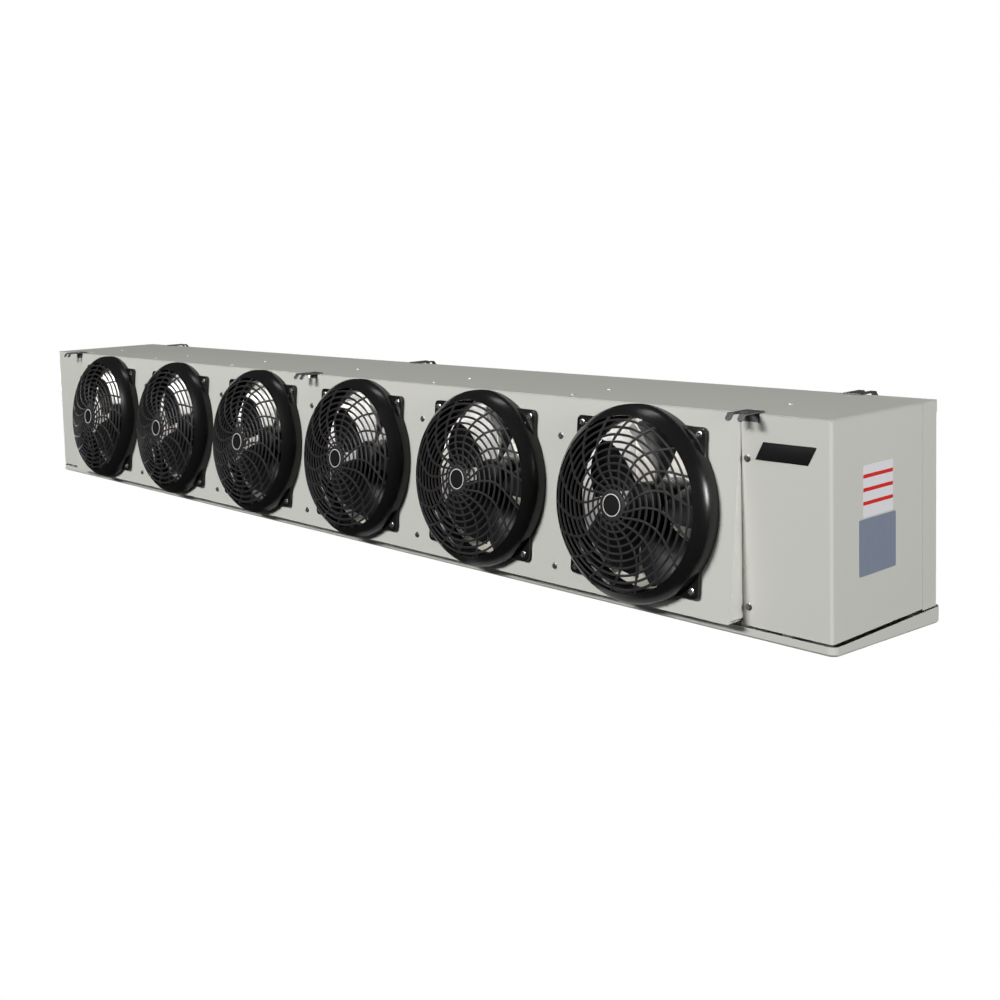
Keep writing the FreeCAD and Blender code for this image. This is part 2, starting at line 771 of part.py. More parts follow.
def coil_block(low, high):
    """Finned half whose back shows a few fins standing out between shallow bays."""
    bays = max(1, int((high - low) / fin_pack_pitch))
    step = (high - low - fin_pack) / bays
    outline = [(low, coil_front), (high, coil_front)]
    for bay in range(bays):
        fin_low = high - bay * step - fin_pack
        outline += [(fin_low + fin_pack, coil_back), (fin_low, coil_back), (fin_low, coil_back - fin_relief),
                    (fin_low + fin_pack - step, coil_back - fin_relief)]
    outline += [(low + fin_pack, coil_back), (low, coil_back)]
    return solid_from([Vector(x, y, coil_bottom) for x, y in outline], coil_height)


def tube_line(row):
    """Height of one row of tubes."""
    first = coil_bottom + (coil_height - (tube_rows_high - 1) * tube_row_pitch) / 2
    return first + row * tube_row_pitch


def return_bend(side, seam, start, finish):
    """U-bend between two tube ends on the outer face of an end bulkhead."""
    x_face = seam + side * (sheet - 0.2)
    middle = (start + finish) * 0.5
    half = (finish - start).Length / 2
    across = (finish - start).normalize()
    corner = half * math.tan(math.radians(22.5))
    x_turn = x_face + side * bend_leg
    run = [(x_face, -half), (x_turn + side * corner, -half), (x_turn + side * half, 0.0),
           (x_turn + side * corner, half), (x_face, half)]
    points = [Vector(x, middle.y, middle.z) + across * reach for x, reach in run]
    return mitred_tube(points, tube_radius, bend_sides)


def return_bends():
    """Return bends of the tube circuits: across the coil at the left and up it at the right."""
    near = (coil_front + coil_back) / 2 - tube_column_pitch / 2
    far = near + tube_column_pitch
    bends = []
    for row in range(1, tube_rows_high):
        z = tube_line(row)
        bends.append(return_bend(-1, left_seam, Vector(0, near, z), Vector(0, far, z)))
    for row in range(0, tube_rows_high - 1, 2):
        for y in (near, far):
            bends.append(return_bend(1, right_seam, Vector(0, y, tube_line(row)), Vector(0, y, tube_line(row + 1))))
    return Part.makeCompound(bends)


def cylinder_between(start, finish, radius):
    direction = finish - start
    return Part.makeCylinder(radius, direction.Length, start, direction)


header_x = left_seam - 70.0
valve_x = header_x - 35.0
valve_flat = valve_radius * math.cos(math.radians(30))
header_y = (coil_front + coil_back) / 2 + tube_column_pitch / 2
suction_z = tube_line(1)
liquid_z = tube_line(3)
valve_y = header_y - 32.0
pipe_back = y_back - sheet - seat_gap


def suction_header():
    """Upright suction header with its feed tube and the run out through the back corner."""
    low = tube_line(0) - 20.0
    high = tube_line(2)
    stub_start = Vector(header_x, pipe_back + 4.0, suction_z)
    upright = mitred_tube([Vector(header_x, header_y, low), Vector(header_x, header_y, high)], suction_radius,
                          pipe_sides)
    feed_z = tube_line(0)
    feed_start = Vector(left_seam - sheet + 0.2, header_y, feed_z)
    feed = mitred_tube([feed_start, Vector(header_x, header_y, feed_z)], tube_radius, pipe_sides)
    run_out = mitred_tube([Vector(header_x, header_y, suction_z), stub_start], suction_run_radius, pipe_sides)
    stub = cylinder_between(stub_start, stub_start + Vector(0, stub_length, 0), suction_radius)
    return joined([upright, feed, run_out, stub])


def liquid_line():
    """Liquid pipe from the back corner to the expansion valve."""
    stub_start = Vector(valve_x, pipe_back + 4.0, liquid_z)
    stub = cylinder_between(stub_start, stub_start + Vector(0, stub_length, 0), liquid_radius)
    valve_side = Vector(valve_x, valve_y + valve_flat + seat_gap, liquid_z)
    run_in = mitred_tube([valve_side, stub_start], liquid_run_radius, pipe_sides)
    return joined([stub, run_in])


def expansion_valve():
    """Thermostatic expansion valve: hexagon body and diaphragm head."""
    body = prism(6, valve_radius, valve_height, -valve_height / 2)
    head = prism(16, 1.75 * valve_radius, 9.0, valve_height / 2)
    cap = prism(12, 0.8 * valve_radius, 8.0, valve_height / 2 + 9.0)
    whole = joined([body, head, cap])
    whole.translate(Vector(valve_x, valve_y, liquid_z))
    return whole


def distributor():
    """Distributor under the valve with its feeder tube into the front column of the coil."""
    top = liquid_z - valve_height / 2 - seat_gap
    near = (coil_front + coil_back) / 2 - tube_column_pitch / 2
    low = tube_line(0)
    cone = skinned([[Vector(valve_x, valve_y, 0) + corner for corner in circle_points(12, radius, z)]
                    for radius, z in ((0.6 * valve_radius, top - 22.0), (1.1 * valve_radius, top))])
    run = [Vector(valve_x, valve_y, top - 20.0), Vector(valve_x, valve_y, top - 44.0),
           Vector(valve_x, near, low), Vector(left_seam - sheet + 0.2, near, low)]
    return joined([cone, mitred_tube(run, 4.0, 6)])


# Electrical box in the right compartment
box_x = right_seam + sheet - 0.2 + seat_gap
box_z = (z_top + z_bottom) / 2
box_y = -20.0


def terminal_box():
    """Open steel box on the outer face of the right bulkhead."""
    half_y = terminal_box_width / 2
    half_z = terminal_box_height / 2
    outer = block(box_x, box_x + terminal_box_depth, box_y - half_y, box_y + half_y, box_z - half_z, box_z + half_z)
    inner = block(box_x + sheet, box_x + terminal_box_depth + 1, box_y - half_y + sheet, box_y + half_y - sheet,
                  box_z - half_z + sheet, box_z + half_z - sheet)
    return outer.cut(inner)


def terminal_box_lid():
    x = box_x + terminal_box_depth + seat_gap
    return block(x, x + sheet, box_y - terminal_box_width / 2, box_y + terminal_box_width / 2,
                 box_z - terminal_box_height / 2, box_z + terminal_box_height / 2)


def terminal_strip():
    """Barrier strip with one bay for each pair of wires."""
    low = box_z - terminal_bays * terminal_bay / 2
    high = low + terminal_bays * terminal_bay
    y = box_y - 14.0
    x = box_x + sheet + seat_gap
    profile = [Vector(x, y, low)]
    for index in range(terminal_bays):
        z = low + index * terminal_bay
        profile += [Vector(x + 18.0, y, z), Vector(x + 18.0, y, z + terminal_rib),
                    Vector(x + 10.0, y, z + terminal_rib), Vector(x + 10.0, y, z + terminal_bay)]
    profile += [Vector(x + 18.0, y, high), Vector(x + 18.0, y, high + terminal_rib),
                Vector(x, y, high + terminal_rib)]
    return solid_from(profile, 28.0, Vector(0, 1, 0))


# Drain pan, its fitting, hinges and clips
pan_left = x_left - pan_overhang
pan_right = x_right + pan_overhang
pan_front = y_front - pan_front_overhang
pan_back = y_back + pan_overhang + 2.0
pan_rim = z_bottom - pan_gap
hinge_y = pan_back + hinge_axis_out
hinge_z = pan_rim - 3.0


def pan_form(inset):
    """Solid form of the pan's outside, or of its inside when inset by the wall."""
    top = pan_rim + (1.0 if inset else 0.0)
    low_front = pan_rim - pan_front_depth + inset
    low_back = pan_rim - pan_back_depth + inset
    near = pan_front + inset
    far = pan_back - inset
    profile = [Vector(pan_left + inset, y, z) for y, z in ((near, top), (near, low_front), (far, low_back), (far, top))]
    form = solid_from(profile, pan_right - pan_left - 2 * inset, Vector(1, 0, 0))
    upright = [edge for edge in form.Edges if edge.BoundBox.ZLength > pan_front_depth / 2
               and edge.BoundBox.YLength < 0.01 and edge.BoundBox.XLength < 0.01]
    form = form.makeFillet(pan_corner_radius - inset, upright)
    lower = [edge for edge in form.Edges if edge.BoundBox.ZMax < low_front + 0.5]
    return form.makeChamfer(pan_edge_fold - inset * (1 - math.tan(math.radians(22.5))), lower)


def drain_pan():
    """Folded tray under the whole cabinet, deeper at the back where it drains."""
    tray = pan_form(0.0).cut(pan_form(pan_sheet))
    hole = prism(drain_bore_sides, drain_bore, 20.0)
    hole.rotate(Vector(0, 0, 0), Vector(1, 0, 0), -90)
    hole.translate(Vector(x_left + drain_from_end, pan_back - 10.0, drain_z()))
    return tray.cut(hole)


def drain_z():
    return pan_rim - pan_back_depth + drain_radius + 2.0


def drain_fitting():
    """Drain fitting on the back wall of the pan, with its hexagon collar."""
    x = x_left + drain_from_end
    stub = Part.makeCylinder(drain_radius, drain_length, Vector(0, 0, 6.0))
    collar = prism(6, drain_radius + 1.6, 6.0)
    bore = prism(drain_bore_sides, drain_bore, drain_length + 8.0, -1.0)
    fitting = joined([stub, collar]).cut(bore)
    fitting.rotate(Vector(0, 0, 0), Vector(1, 0, 0), -90)
    fitting.translate(Vector(x, pan_back, drain_z()))
    return fitting


def hinge_places():
    """Middle of each pan hinge along the unit, with the side that its pivot stands on."""
    span = length - 2 * left_end_width
    places = []
    for index in range(hinge_count):
        places.append((-span / 2 + span * index / (hinge_count - 1), -1 if index == 0 else 1))
    return places


def hinge_rod(x_low, x_high, radius):
    """Many-sided rod on the pan's hinge axis."""
    rod = prism(hinge_pin_sides, radius, x_high - x_low)
    rod.rotate(Vector(0, 0, 0), Vector(0, 1, 0), 90)
    rod.translate(Vector(x_low, hinge_y, hinge_z))
    return rod


def cabinet_hinge_brackets():
    """Fixed brackets: a foot on the back of the cabinet, an arm over the pan's rim and a pierced ear."""
    brackets = []
    half = hinge_width / 2
    arm_z = pan_rim + rim_clearance
    for x, side in hinge_places():
        run = [(y_back + seat_gap, z_bottom + hinge_foot_height), (y_back + seat_gap, arm_z),
               (hinge_y + hinge_ear_half, arm_z)]
        strap = profile_sheet(run, sheet, 1, x - half, x + half)
        x_ear = x + side * half
        ear = block(x_ear, x_ear - side * hinge_ear, hinge_y - hinge_ear_half, hinge_y + hinge_ear_half,
                    hinge_z - hinge_ear_half, arm_z)
        bore_radius = (hinge_pin_radius + hinge_pin_gap) / math.cos(math.pi / hinge_pin_sides)
        bore = hinge_rod(x - half - 1.0, x + half + 1.0, bore_radius)
        brackets.append(joined([strap, ear]).cut(bore))
    return Part.makeCompound(brackets)


def pan_hinge_ears():
    """Moving ears on the back wall of the pan, each with its riveted pivot pin."""
    ears = []
    for x, side in hinge_places():
        x_near = x + side * (hinge_width / 2 + seat_gap)
        x_far = x_near + side * hinge_ear
        ear = block(x_near, x_far, pan_back, hinge_y + hinge_ear_half,
                    hinge_z - 3.0 * hinge_ear_half, hinge_z + hinge_ear_half * 0.7)
        x_tip = x_near - side * (hinge_ear + 4.0)
        pin = hinge_rod(min(x_tip, x_far - side * 0.5), max(x_tip, x_far - side * 0.5), hinge_pin_radius)
        ears.append(joined([ear, pin]))
    return Part.makeCompound(ears)


def pan_clips():
    """Spring clips on the pan's front wall that snap up behind the end covers."""
    clips = []
    wall = pan_front + pan_sheet
    inside = y_front + sheet + 0.8
    for x in (x_left + left_end_width / 2, x_right - right_end_width / 2):
        run = [(wall, pan_rim - 9.0), (wall, pan_rim - 1.0), (inside, pan_rim + 2.0),
               (inside, z_bottom + 9.0)]
        clips.append(profile_sheet(run, 0.8, -1, x - 10.0, x + 10.0))
    return Part.makeCompound(clips)


# Screws, rivets and plates
def guard_screws():
    """Hexagon screws in the ears of the guards."""
    screws = []
    for index in range(fan_count):
        for x_side in (-1, 1):
            for y_side in (-1, 1):
                head = prism(6, screw_head_across / 2, screw_head_height, ear_height)
                head.translate(Vector(x_side * ear_pitch / 2, y_side * ear_pitch / 2, 0))
                screws.append(at_fan(head, index))
    return Part.makeCompound(screws)


def panel_screws():
    """Screws that hold the fan panel to the folds of the partitions."""
    screws = []
    for x in bay_lines:
        for down in (panel_screw_from_top, panel_height - panel_screw_from_bottom):
            head = prism(6, screw_head_across / 2, screw_head_height * 0.75)
            screws.append(on_panel(head, x + fold_width / 2, down))
    return Part.makeCompound(screws)


def cover_screws():
    """Screws that hold the end covers to the front folds of the bulkheads."""
    screws = []
    for side, seam in ((-1, left_seam), (1, right_seam)):
        for height in (cover_screw_from_bottom, cabinet_height - cover_screw_from_top):
            head = prism(6, screw_head_across / 2, screw_head_height * 0.75)
            head.rotate(Vector(0, 0, 0), Vector(1, 0, 0), 90)
            head.translate(Vector(seam + side * cover_screw_from_seam, y_front, z_bottom + height))
            screws.append(head)
    return Part.makeCompound(screws)


def top_rivets():
    """Rivets that hold the top panel to the folds of the partitions and bulkheads."""
    rivets = []
    for x in [left_seam] + bay_lines + [right_seam]:
        for y in (y_front + rivet_from_front, y_front + rivet_from_front + rivet_spacing):
            head = prism(6, rivet_radius, rivet_height, z_top)
            head.translate(Vector(x + fold_width / 2, y, 0))
            rivets.append(head)
    return Part.makeCompound(rivets)


def hub_badges():
    """Plain round caps on the hubs of the guards."""
    return Part.makeCompound([at_fan(prism(12, hub_badge_radius, hub_badge_height, guard_hub_height), index)
                              for index in range(fan_count)])


def cover_badge():
    """Bare slanted plate on the front of the right end cover."""
    low_x = right_seam + badge_from_seam
    low_z = z_top - badge_from_top - badge_height
    points = [Vector(low_x, y_front, low_z), Vector(low_x + badge_width, y_front, low_z),
              Vector(low_x + badge_width + badge_slant, y_front, low_z + badge_height),
              Vector(low_x + badge_slant, y_front, low_z + badge_height)]
    return solid_from(points, badge_thickness, Vector(0, -1, 0))


save("top_panel", top_panel())
save("fan_panel", fan_panel())
save("left_end_cover", end_cover(-1, left_seam))
save("right_end_cover", end_cover(1, right_seam))
left_corner = rear_corner(-1, left_seam)
suction_hole = pipe_hole(header_x, suction_z, suction_run_radius + pipe_hole_gap)
liquid_hole = pipe_hole(valve_x, liquid_z, liquid_run_radius + pipe_hole_gap)
save("left_rear_corner", left_corner.cut([suction_hole, liquid_hole]))
conduit_x = x_right - 60.0
conduit_z = z_bottom + 90.0
conduit_hole = pipe_hole(conduit_x, conduit_z, conduit_hole_radius)
save("right_rear_corner", rear_corner(1, right_seam).cut(conduit_hole))
save("left_end_plate", end_plate(-1, left_seam))
save("right_end_plate", end_plate(1, right_seam))
save("centre_plate", centre_plate())
partition_lines = [line for line in bay_lines if line != middle_line]
save("bay_partitions", Part.makeCompound([bay_partition(line) for line in partition_lines]))
save("rear_sill", rear_sill())
save("coil_fin_blocks", coil_blocks())
save("coil_return_bends", return_bends())
save("suction_header", suction_header())
save("liquid_line", liquid_line())
save("expansion_valve", expansion_valve())
save("distributor", distributor())
save("terminal_box", terminal_box())
save("terminal_box_lid", terminal_box_lid())
save("terminal_strip", terminal_strip())

wheel = fan_wheel()
guard = fan_guard()
for number in range(fan_count):
    save("fan_wheel_" + str(number + 1), at_fan(wheel, number))
    save("fan_guard_" + str(number + 1), at_fan(guard, number))
save("fan_motors", Part.makeCompound([at_fan(motor(), number) for number in range(fan_count)]))
save("motor_brackets", Part.makeCompound([at_fan(motor_bracket(), number) for number in range(fan_count)]))
save("hub_badges", hub_badges())
save("guard_screws", guard_screws())
save("panel_screws", panel_screws())
save("cover_screws", cover_screws())
save("top_rivets", top_rivets())
save("cover_badge", cover_badge())

save("front_hangers", Part.makeCompound([hanger(line, True) for line in hanger_lines]))
save("rear_hangers", Part.makeCompound([hanger(line, False) for line in hanger_lines]))

save("drain_pan", drain_pan())
save("drain_fitting", drain_fitting())
save("cabinet_hinge_brackets", cabinet_hinge_brackets())
save("pan_hinge_ears", pan_hinge_ears())
save("pan_clips", pan_clips())
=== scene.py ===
"""Six-fan low-profile unit cooler for a cold room, dressed for a studio photograph."""
import json
import math

import bmesh
import bpy
from bpy.props import FloatProperty, FloatVectorProperty, IntProperty, PointerProperty
from mathutils import Matrix, Vector


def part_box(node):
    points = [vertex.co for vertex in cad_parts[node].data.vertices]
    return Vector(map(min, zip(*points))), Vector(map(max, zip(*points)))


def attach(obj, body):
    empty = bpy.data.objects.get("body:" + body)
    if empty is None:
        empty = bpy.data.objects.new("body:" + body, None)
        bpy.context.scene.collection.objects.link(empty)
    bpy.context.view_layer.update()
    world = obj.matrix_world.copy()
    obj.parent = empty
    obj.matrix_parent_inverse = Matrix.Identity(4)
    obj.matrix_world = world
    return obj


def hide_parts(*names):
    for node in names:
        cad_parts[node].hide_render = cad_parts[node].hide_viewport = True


bl_info = {
    "name": "Unit Cooler",
    "version": (1, 0, 0),
    "blender": (4, 5, 0),
    "location": "View3D > Sidebar > Unit Cooler",
    "description": "Builds the visible pieces of a six-fan unit cooler round its measured frame",
    "category": "Object",
}

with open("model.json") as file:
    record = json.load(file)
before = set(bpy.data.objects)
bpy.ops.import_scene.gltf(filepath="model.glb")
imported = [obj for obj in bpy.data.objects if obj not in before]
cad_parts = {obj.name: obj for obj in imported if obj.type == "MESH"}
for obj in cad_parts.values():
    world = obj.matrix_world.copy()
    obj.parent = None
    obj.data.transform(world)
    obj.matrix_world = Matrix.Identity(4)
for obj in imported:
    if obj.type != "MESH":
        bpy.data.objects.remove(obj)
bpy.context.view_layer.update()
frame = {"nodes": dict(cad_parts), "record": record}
MM = 0.001
record = frame["record"]
slots = {part["node"]: part["material_slot"] for part in record["subparts"]}
body_of = {node: body for body, nodes in record["behaviour"]["bodies"].items() for node in nodes}
fan_joints = [joint for joint in record["behaviour"]["joints"] if joint.get("continuous")]
FAN_COUNT = len(fan_joints)
finishes = {}


# Adjustable sizes and colours
def length(name, description, default):
    return FloatProperty(name=name, description=description, default=default, unit="LENGTH")


def tint(name, description, default):
    return FloatVectorProperty(name=name, description=description, default=default,
                               subtype="COLOR", size=3)


class CoolerSizes(bpy.types.PropertyGroup):
    """Sizes of the visible detail."""
    fold_radius: length("Fold radius", "Outside radius of the folds in the sheet metal", 0.0018)
    cut_edge: length("Cut edge", "Rounding of cut sheet edges", 0.0003)
    rib_count: IntProperty(
        name="Guard ribs", description="Curved ribs in one fan guard", default=18)
    ring_count: IntProperty(
        name="Guard rings", description="Rings between hub and band of a guard", default=10)
    first_ring: length("First ring", "Radius of the innermost guard ring", 0.0345)
    ring_pitch: length("Ring pitch", "Distance between guard rings", 0.01275)
    bar_width: length("Bar width", "Width of a guard bar seen from the front", 0.0046)
    bar_depth: length("Bar depth", "Depth of a guard bar along the air flow", 0.0042)
    fin_pitch: length("Fin pitch", "Distance between coil fins", 0.0042)
    screw_across: length("Screw head", "Size of a screw head across its flats", 0.008)


class CoolerColours(bpy.types.PropertyGroup):
    """Colours of the finishes."""
    paint: tint("Cabinet paint", "Warm light grey of the painted sheet", (0.60, 0.60, 0.555))
    guard: tint("Guard plastic", "Black of the moulded fan guards", (0.008, 0.0076, 0.0077))
    grille: tint("Guard bars", "Satin dark grey of the guards' bars", (0.026, 0.0245, 0.0252))
    blade: tint("Fan wheel", "Black of the fan wheels", (0.007, 0.007, 0.0075))
    fins: tint("Coil fins", "Bright aluminium of the coil fins", (0.56, 0.55, 0.53))
    zinc: tint("Galvanised sheet", "Zinc coat of hangers and bulkheads", (0.22, 0.22, 0.225))
    bright_zinc: tint("Screw zinc", "Bright plating of the screws", (0.72, 0.72, 0.70))
    copper: tint("Copper", "Drawn copper tube", (0.70, 0.33, 0.20))
    brass: tint("Brass", "Machined brass", (0.68, 0.50, 0.24))
    rating_plate: tint("Rating plate", "Blue-grey film of the bare rating plate",
                       (0.29, 0.335, 0.43))
    notice_band: tint("Notice bands", "Red bands on the pale notice film", (0.75, 0.03, 0.02))
    floor: tint("Floor", "Plain pale studio floor", (1.0, 1.0, 1.0))


# Node trees
class Recipe:
    """A node tree under construction, for a material or for geometry."""

    def __init__(self, tree):
        self.tree = tree
        tree.nodes.clear()

    def feed(self, socket, value):
        if isinstance(value, Amount):
            value = value.socket
        if isinstance(value, bpy.types.NodeSocket):
            self.tree.links.new(value, socket)
        else:
            socket.default_value = value

    def node(self, kind, settings=None, inputs=None):
        """Add a node, set it up and feed its sockets."""
        node = self.tree.nodes.new(kind)
        for name, value in (settings or {}).items():
            setattr(node, name, value)
        for socket, value in (inputs or {}).items():
            self.feed(node.inputs[socket], value)
        return node

    def result(self, kind, inputs=None, settings=None):
        """First output of a new node."""
        return self.node(kind, settings, inputs).outputs[0]

    def amount(self, socket):
        return Amount(self, socket)


class Amount:
    """A number that varies over a surface and takes part in Python sums."""

    def __init__(self, recipe, socket):
        self.recipe = recipe
        self.socket = socket

    def sum(self, operation, first, second):
        inputs = {0: first, 1: second}
        return Amount(self.recipe, self.recipe.result("ShaderNodeMath", inputs,
                                                      {"operation": operation}))

    def __add__(self, other):
        return self.sum("ADD", self, other)

    __radd__ = __add__

    def __mul__(self, other):
        return self.sum("MULTIPLY", self, other)

    __rmul__ = __mul__

    def __sub__(self, other):
        return self.sum("SUBTRACT", self, other)

    def __rsub__(self, other):
        return self.sum("SUBTRACT", other, self)

    def __truediv__(self, other):
        return self.sum("DIVIDE", self, other)

    def __rtruediv__(self, other):
        return self.sum("DIVIDE", other, self)

    def clamped(self):
        return self.sum("MINIMUM", self.sum("MAXIMUM", self, 0.0), 1.0)


class Finish(Recipe):
    """A material whose pattern reads the piece's own coordinates."""

    def __init__(self, name):
        self.material = bpy.data.materials.new(name)
        self.material.use_nodes = True
        finishes[name] = self.material
        super().__init__(self.material.node_tree)
        self.place = self.node("ShaderNodeTexCoord").outputs["Object"]

    def stretched(self, scale):
        """The piece's coordinates, stretched along each axis."""
        return self.result("ShaderNodeMapping", {"Vector": self.place, "Scale": scale})

    def noise(self, scale, detail=3.0, roughness=0.55, place=None):
        return self.amount(self.result("ShaderNodeTexNoise", {
            "Vector": place or self.place, "Scale": scale, "Detail": detail,
            "Roughness": roughness}))

    def flakes(self, scale):
        """A shade of its own for each crystal."""
        node = self.node("ShaderNodeTexVoronoi", {}, {"Vector": self.place, "Scale": scale})
        return self.amount(node.outputs["Color"])

    def mixed(self, share, first, second):
        """Colour between two colours."""
        inputs = {0: share, 6: first, 7: second}
        return self.node("ShaderNodeMix", {"data_type": "RGBA"}, inputs).outputs[2]

    def bump(self, height, strength):
        return self.result("ShaderNodeBump", {
            "Height": height, "Strength": strength, "Distance": BUMP_DISTANCE})

    def shade(self, colour, roughness, metallic=0.0, normal=None, specular=0.5):
        inputs = {"Base Color": colour, "Roughness": roughness, "Metallic": metallic,
                  "Specular IOR Level": specular}
        if normal is not None:
            inputs["Normal"] = normal
        surface = self.result("ShaderNodeBsdfPrincipled", inputs)
        self.node("ShaderNodeOutputMaterial", {}, {"Surface": surface})


# Finishes
BUMP_DISTANCE = 0.0005
SLOT_FINISH = {
    "painted_sheet": "painted_sheet", "pan_sheet": "painted_sheet",
    "galvanised_sheet": "galvanised_sheet", "coil_fins": "fin_aluminium",
    "copper_tube": "drawn_copper", "brass": "machined_brass", "fan_wheel": "wheel_plastic",
    "guard_plastic": "moulded_guard", "motor_case": "motor_enamel",
    "zinc_fasteners": "bright_zinc", "black_plastic": "terminal_plastic",
}
# Sheets inside the cabinet that take darker zinc than the outer sheet: painted shade for the dark
# inside
SHADED_INSIDE_SHEETS = ("bay_partitions", "centre_plate", "left_end_plate", "right_end_plate",
                 "motor_brackets", "pan_clips")


def opaque(colour, factor=1.0):
    """Colour with its brightness scaled and full alpha."""
    return tuple(min(channel * factor, 1.0) for channel in colour) + (1.0,)


def tones(colour, first, second):
    """One colour at two brightnesses."""
    return opaque(colour, first), opaque(colour, second)


def painted_sheet(colours):
    """Powder-coated sheet: fine orange peel, faint clouding and a little dust in patches drawn out
    along the cabinet.
    """
    finish = Finish("painted_sheet")
    cloud = finish.noise(2.2, 2.0)
    grime = finish.noise(60.0, 4.0, 0.7, finish.stretched((0.25, 1.0, 1.0)))
    share = (cloud * 0.35 + (grime - 0.5) * 0.25).clamped()
    peel = finish.bump(finish.noise(950.0, 2.0, 0.5), 0.06)
    colour = finish.mixed(share, *tones(colours.paint, 1.03, 0.93))
    finish.shade(colour, 0.46 + grime * 0.10, normal=peel, specular=0.36)


def galvanised_sheet(colours):
    """Zinc-coated sheet with its crystal flakes."""
    finish = Finish("galvanised_sheet")
    flake = finish.flakes(190.0)
    rub = finish.noise(45.0, 4.0, 0.7)
    colour = finish.mixed(flake * 0.6 + rub * 0.4, *tones(colours.zinc, 0.72, 1.25))
    finish.shade(colour, 0.30 + flake * 0.18 + rub * 0.08, 0.85, finish.bump(flake, 0.04))


def bulkhead_sheet(colours):
    """Dull zinc-coated sheet inside the cabinet, in darker tones than the outer galvanised sheet:
    painted shade.
    """
    finish = Finish("bulkhead_sheet")
    flake = finish.flakes(150.0)
    rub = finish.noise(30.0, 4.0, 0.7)
    # The zinc at 0.54 to 0.84 of its brightness, against 0.72 to 1.25 outside: painted shade
    colour = finish.mixed(flake * 0.5 + rub * 0.5, *tones(colours.zinc, 0.54, 0.84))
    finish.shade(colour, 0.42 + flake * 0.12, 0.6, finish.bump(flake, 0.03))


def wheel_plastic(colours):
    """Filled black plastic of the fan wheels, with light dust in patches."""
    finish = Finish("wheel_plastic")
    dust = finish.noise(28.0, 4.0, 0.65)
    colour = finish.mixed((dust - 0.45) * 0.6, *tones(colours.blade, 1.0, 2.0))
    grain = finish.bump(finish.noise(700.0), 0.08)
    finish.shade(colour, 0.34 + dust * 0.15, normal=grain, specular=0.3)


def grained(name, pattern, pair, roughness, metallic=0.0, relief=0.0, grain=None, stretch=None,
            specular=0.5):
    """Finish whose two colours and whose roughness (least, spread) follow one noise.

    Its relief follows the same noise, or a finer grain of its own.
    """
    finish = Finish(name)
    place = finish.stretched(stretch) if stretch else None
    noise = finish.noise(*pattern, place)
    height = finish.noise(*grain) if grain else noise
    normal = finish.bump(height, relief) if relief else None
    least, spread = roughness
    finish.shade(finish.mixed(noise, *pair), least + noise * spread, metallic, normal, specular)


def plastics(colours):
    """Glossy guards, their satin bars, and the terminal strip."""
    grained("moulded_guard", (55, 3, 0.6), tones(colours.guard, 0.9, 1.15), (0.20, 0.08),
            relief=0.04, grain=(1400, 2, 0.5), specular=0.42)
    grained("grille_plastic", (90, 3, 0.6), tones(colours.grille, 0.85, 1.15), (0.42, 0.1),
            relief=0.05, grain=(900,), specular=0.3)
    grained("terminal_plastic", (300, 3, 0.6),
            (opaque((0.03, 0.03, 0.032)), opaque((0.06, 0.06, 0.062))), (0.5, 0.1), relief=0.05)


def metals(colours):
    """Rolled fins, plated screws, rivets, tarnished copper, brass and the enamelled motors."""
    grained("fin_aluminium", (160, 3, 0.6), tones(colours.fins, 1.0, 0.82), (0.34, 0.2), 0.55, 0.1,
            stretch=(1.0, 6.0, 0.3))
    grained("bright_zinc", (420, 4, 0.7), tones(colours.bright_zinc, 1.0, 0.7), (0.16, 0.2), 1.0,
            0.08)
    grained("dull_zinc", (520, 4, 0.7), tones(colours.bright_zinc, 0.42, 0.22), (0.30, 0.2), 1.0,
            0.1)
    grained("blind_rivet", (600, 3, 0.6), tones(colours.bright_zinc, 1.35, 1.15), (0.30, 0.15),
            0.3, 0.05)
    grained("drawn_copper", (38, 5, 0.65), tones(colours.copper, 1.0, 0.45), (0.22, 0.25), 1.0,
            0.04, grain=(600,))
    grained("machined_brass", (300, 3, 0.6), tones(colours.brass, 1.0, 0.7), (0.25, 0.15), 1.0,
            0.05)
    grained("motor_enamel", (240, 4, 0.7),
            (opaque((0.016, 0.016, 0.017)), opaque((0.04, 0.04, 0.042))), (0.42, 0.15),
            relief=0.15)


def films(colours):
    """Badge film under a clear gloss, its pale trim, the rating plate and the notice."""
    grained("badge_black", (320, 2, 0.5),
            (opaque((0.006, 0.006, 0.006)), opaque((0.011, 0.011, 0.012))), (0.46, 0.08),
            specular=0.15)
    grained("badge_trim", (900, 2, 0.5),
            (opaque((0.72, 0.72, 0.70)), opaque((0.58, 0.58, 0.57))), (0.42, 0.1))
    grained("rating_film", (500, 3, 0.6), tones(colours.rating_plate, 1.12, 0.88), (0.34, 0.12),
            0.25, stretch=(1.0, 1.0, 0.08))
    grained("notice_paper", (700, 3, 0.6),
            (opaque((0.80, 0.80, 0.83)), opaque((0.74, 0.74, 0.77))), (0.40, 0.1))
    grained("notice_band", (800, 3, 0.6), tones(colours.notice_band, 1.0, 0.85), (0.36, 0.1))


def studio_floor(colours):
    """Evenly lit pale sweep."""
    finish = Finish("studio_floor")
    glow = finish.result("ShaderNodeEmission", {"Color": opaque(colours.floor), "Strength": 1.0})
    finish.node("ShaderNodeOutputMaterial", {}, {"Surface": glow})


FINISH_MAKERS = (painted_sheet, galvanised_sheet, bulkhead_sheet, wheel_plastic, plastics, metals,
                 films, studio_floor)


# Places
def fan_place(number):
    """Matrix from a fan's own axes (z out of the panel, y up its slope) to the frame."""
    joint = fan_joints[number]
    out = Vector(joint["axis"]).normalized()
    along = Vector((1.0, 0.0, 0.0))
    turned = Matrix((along, out.cross(along), out)).transposed().to_4x4()
    return Matrix.Translation(Vector(joint["pos_m"])) @ turned


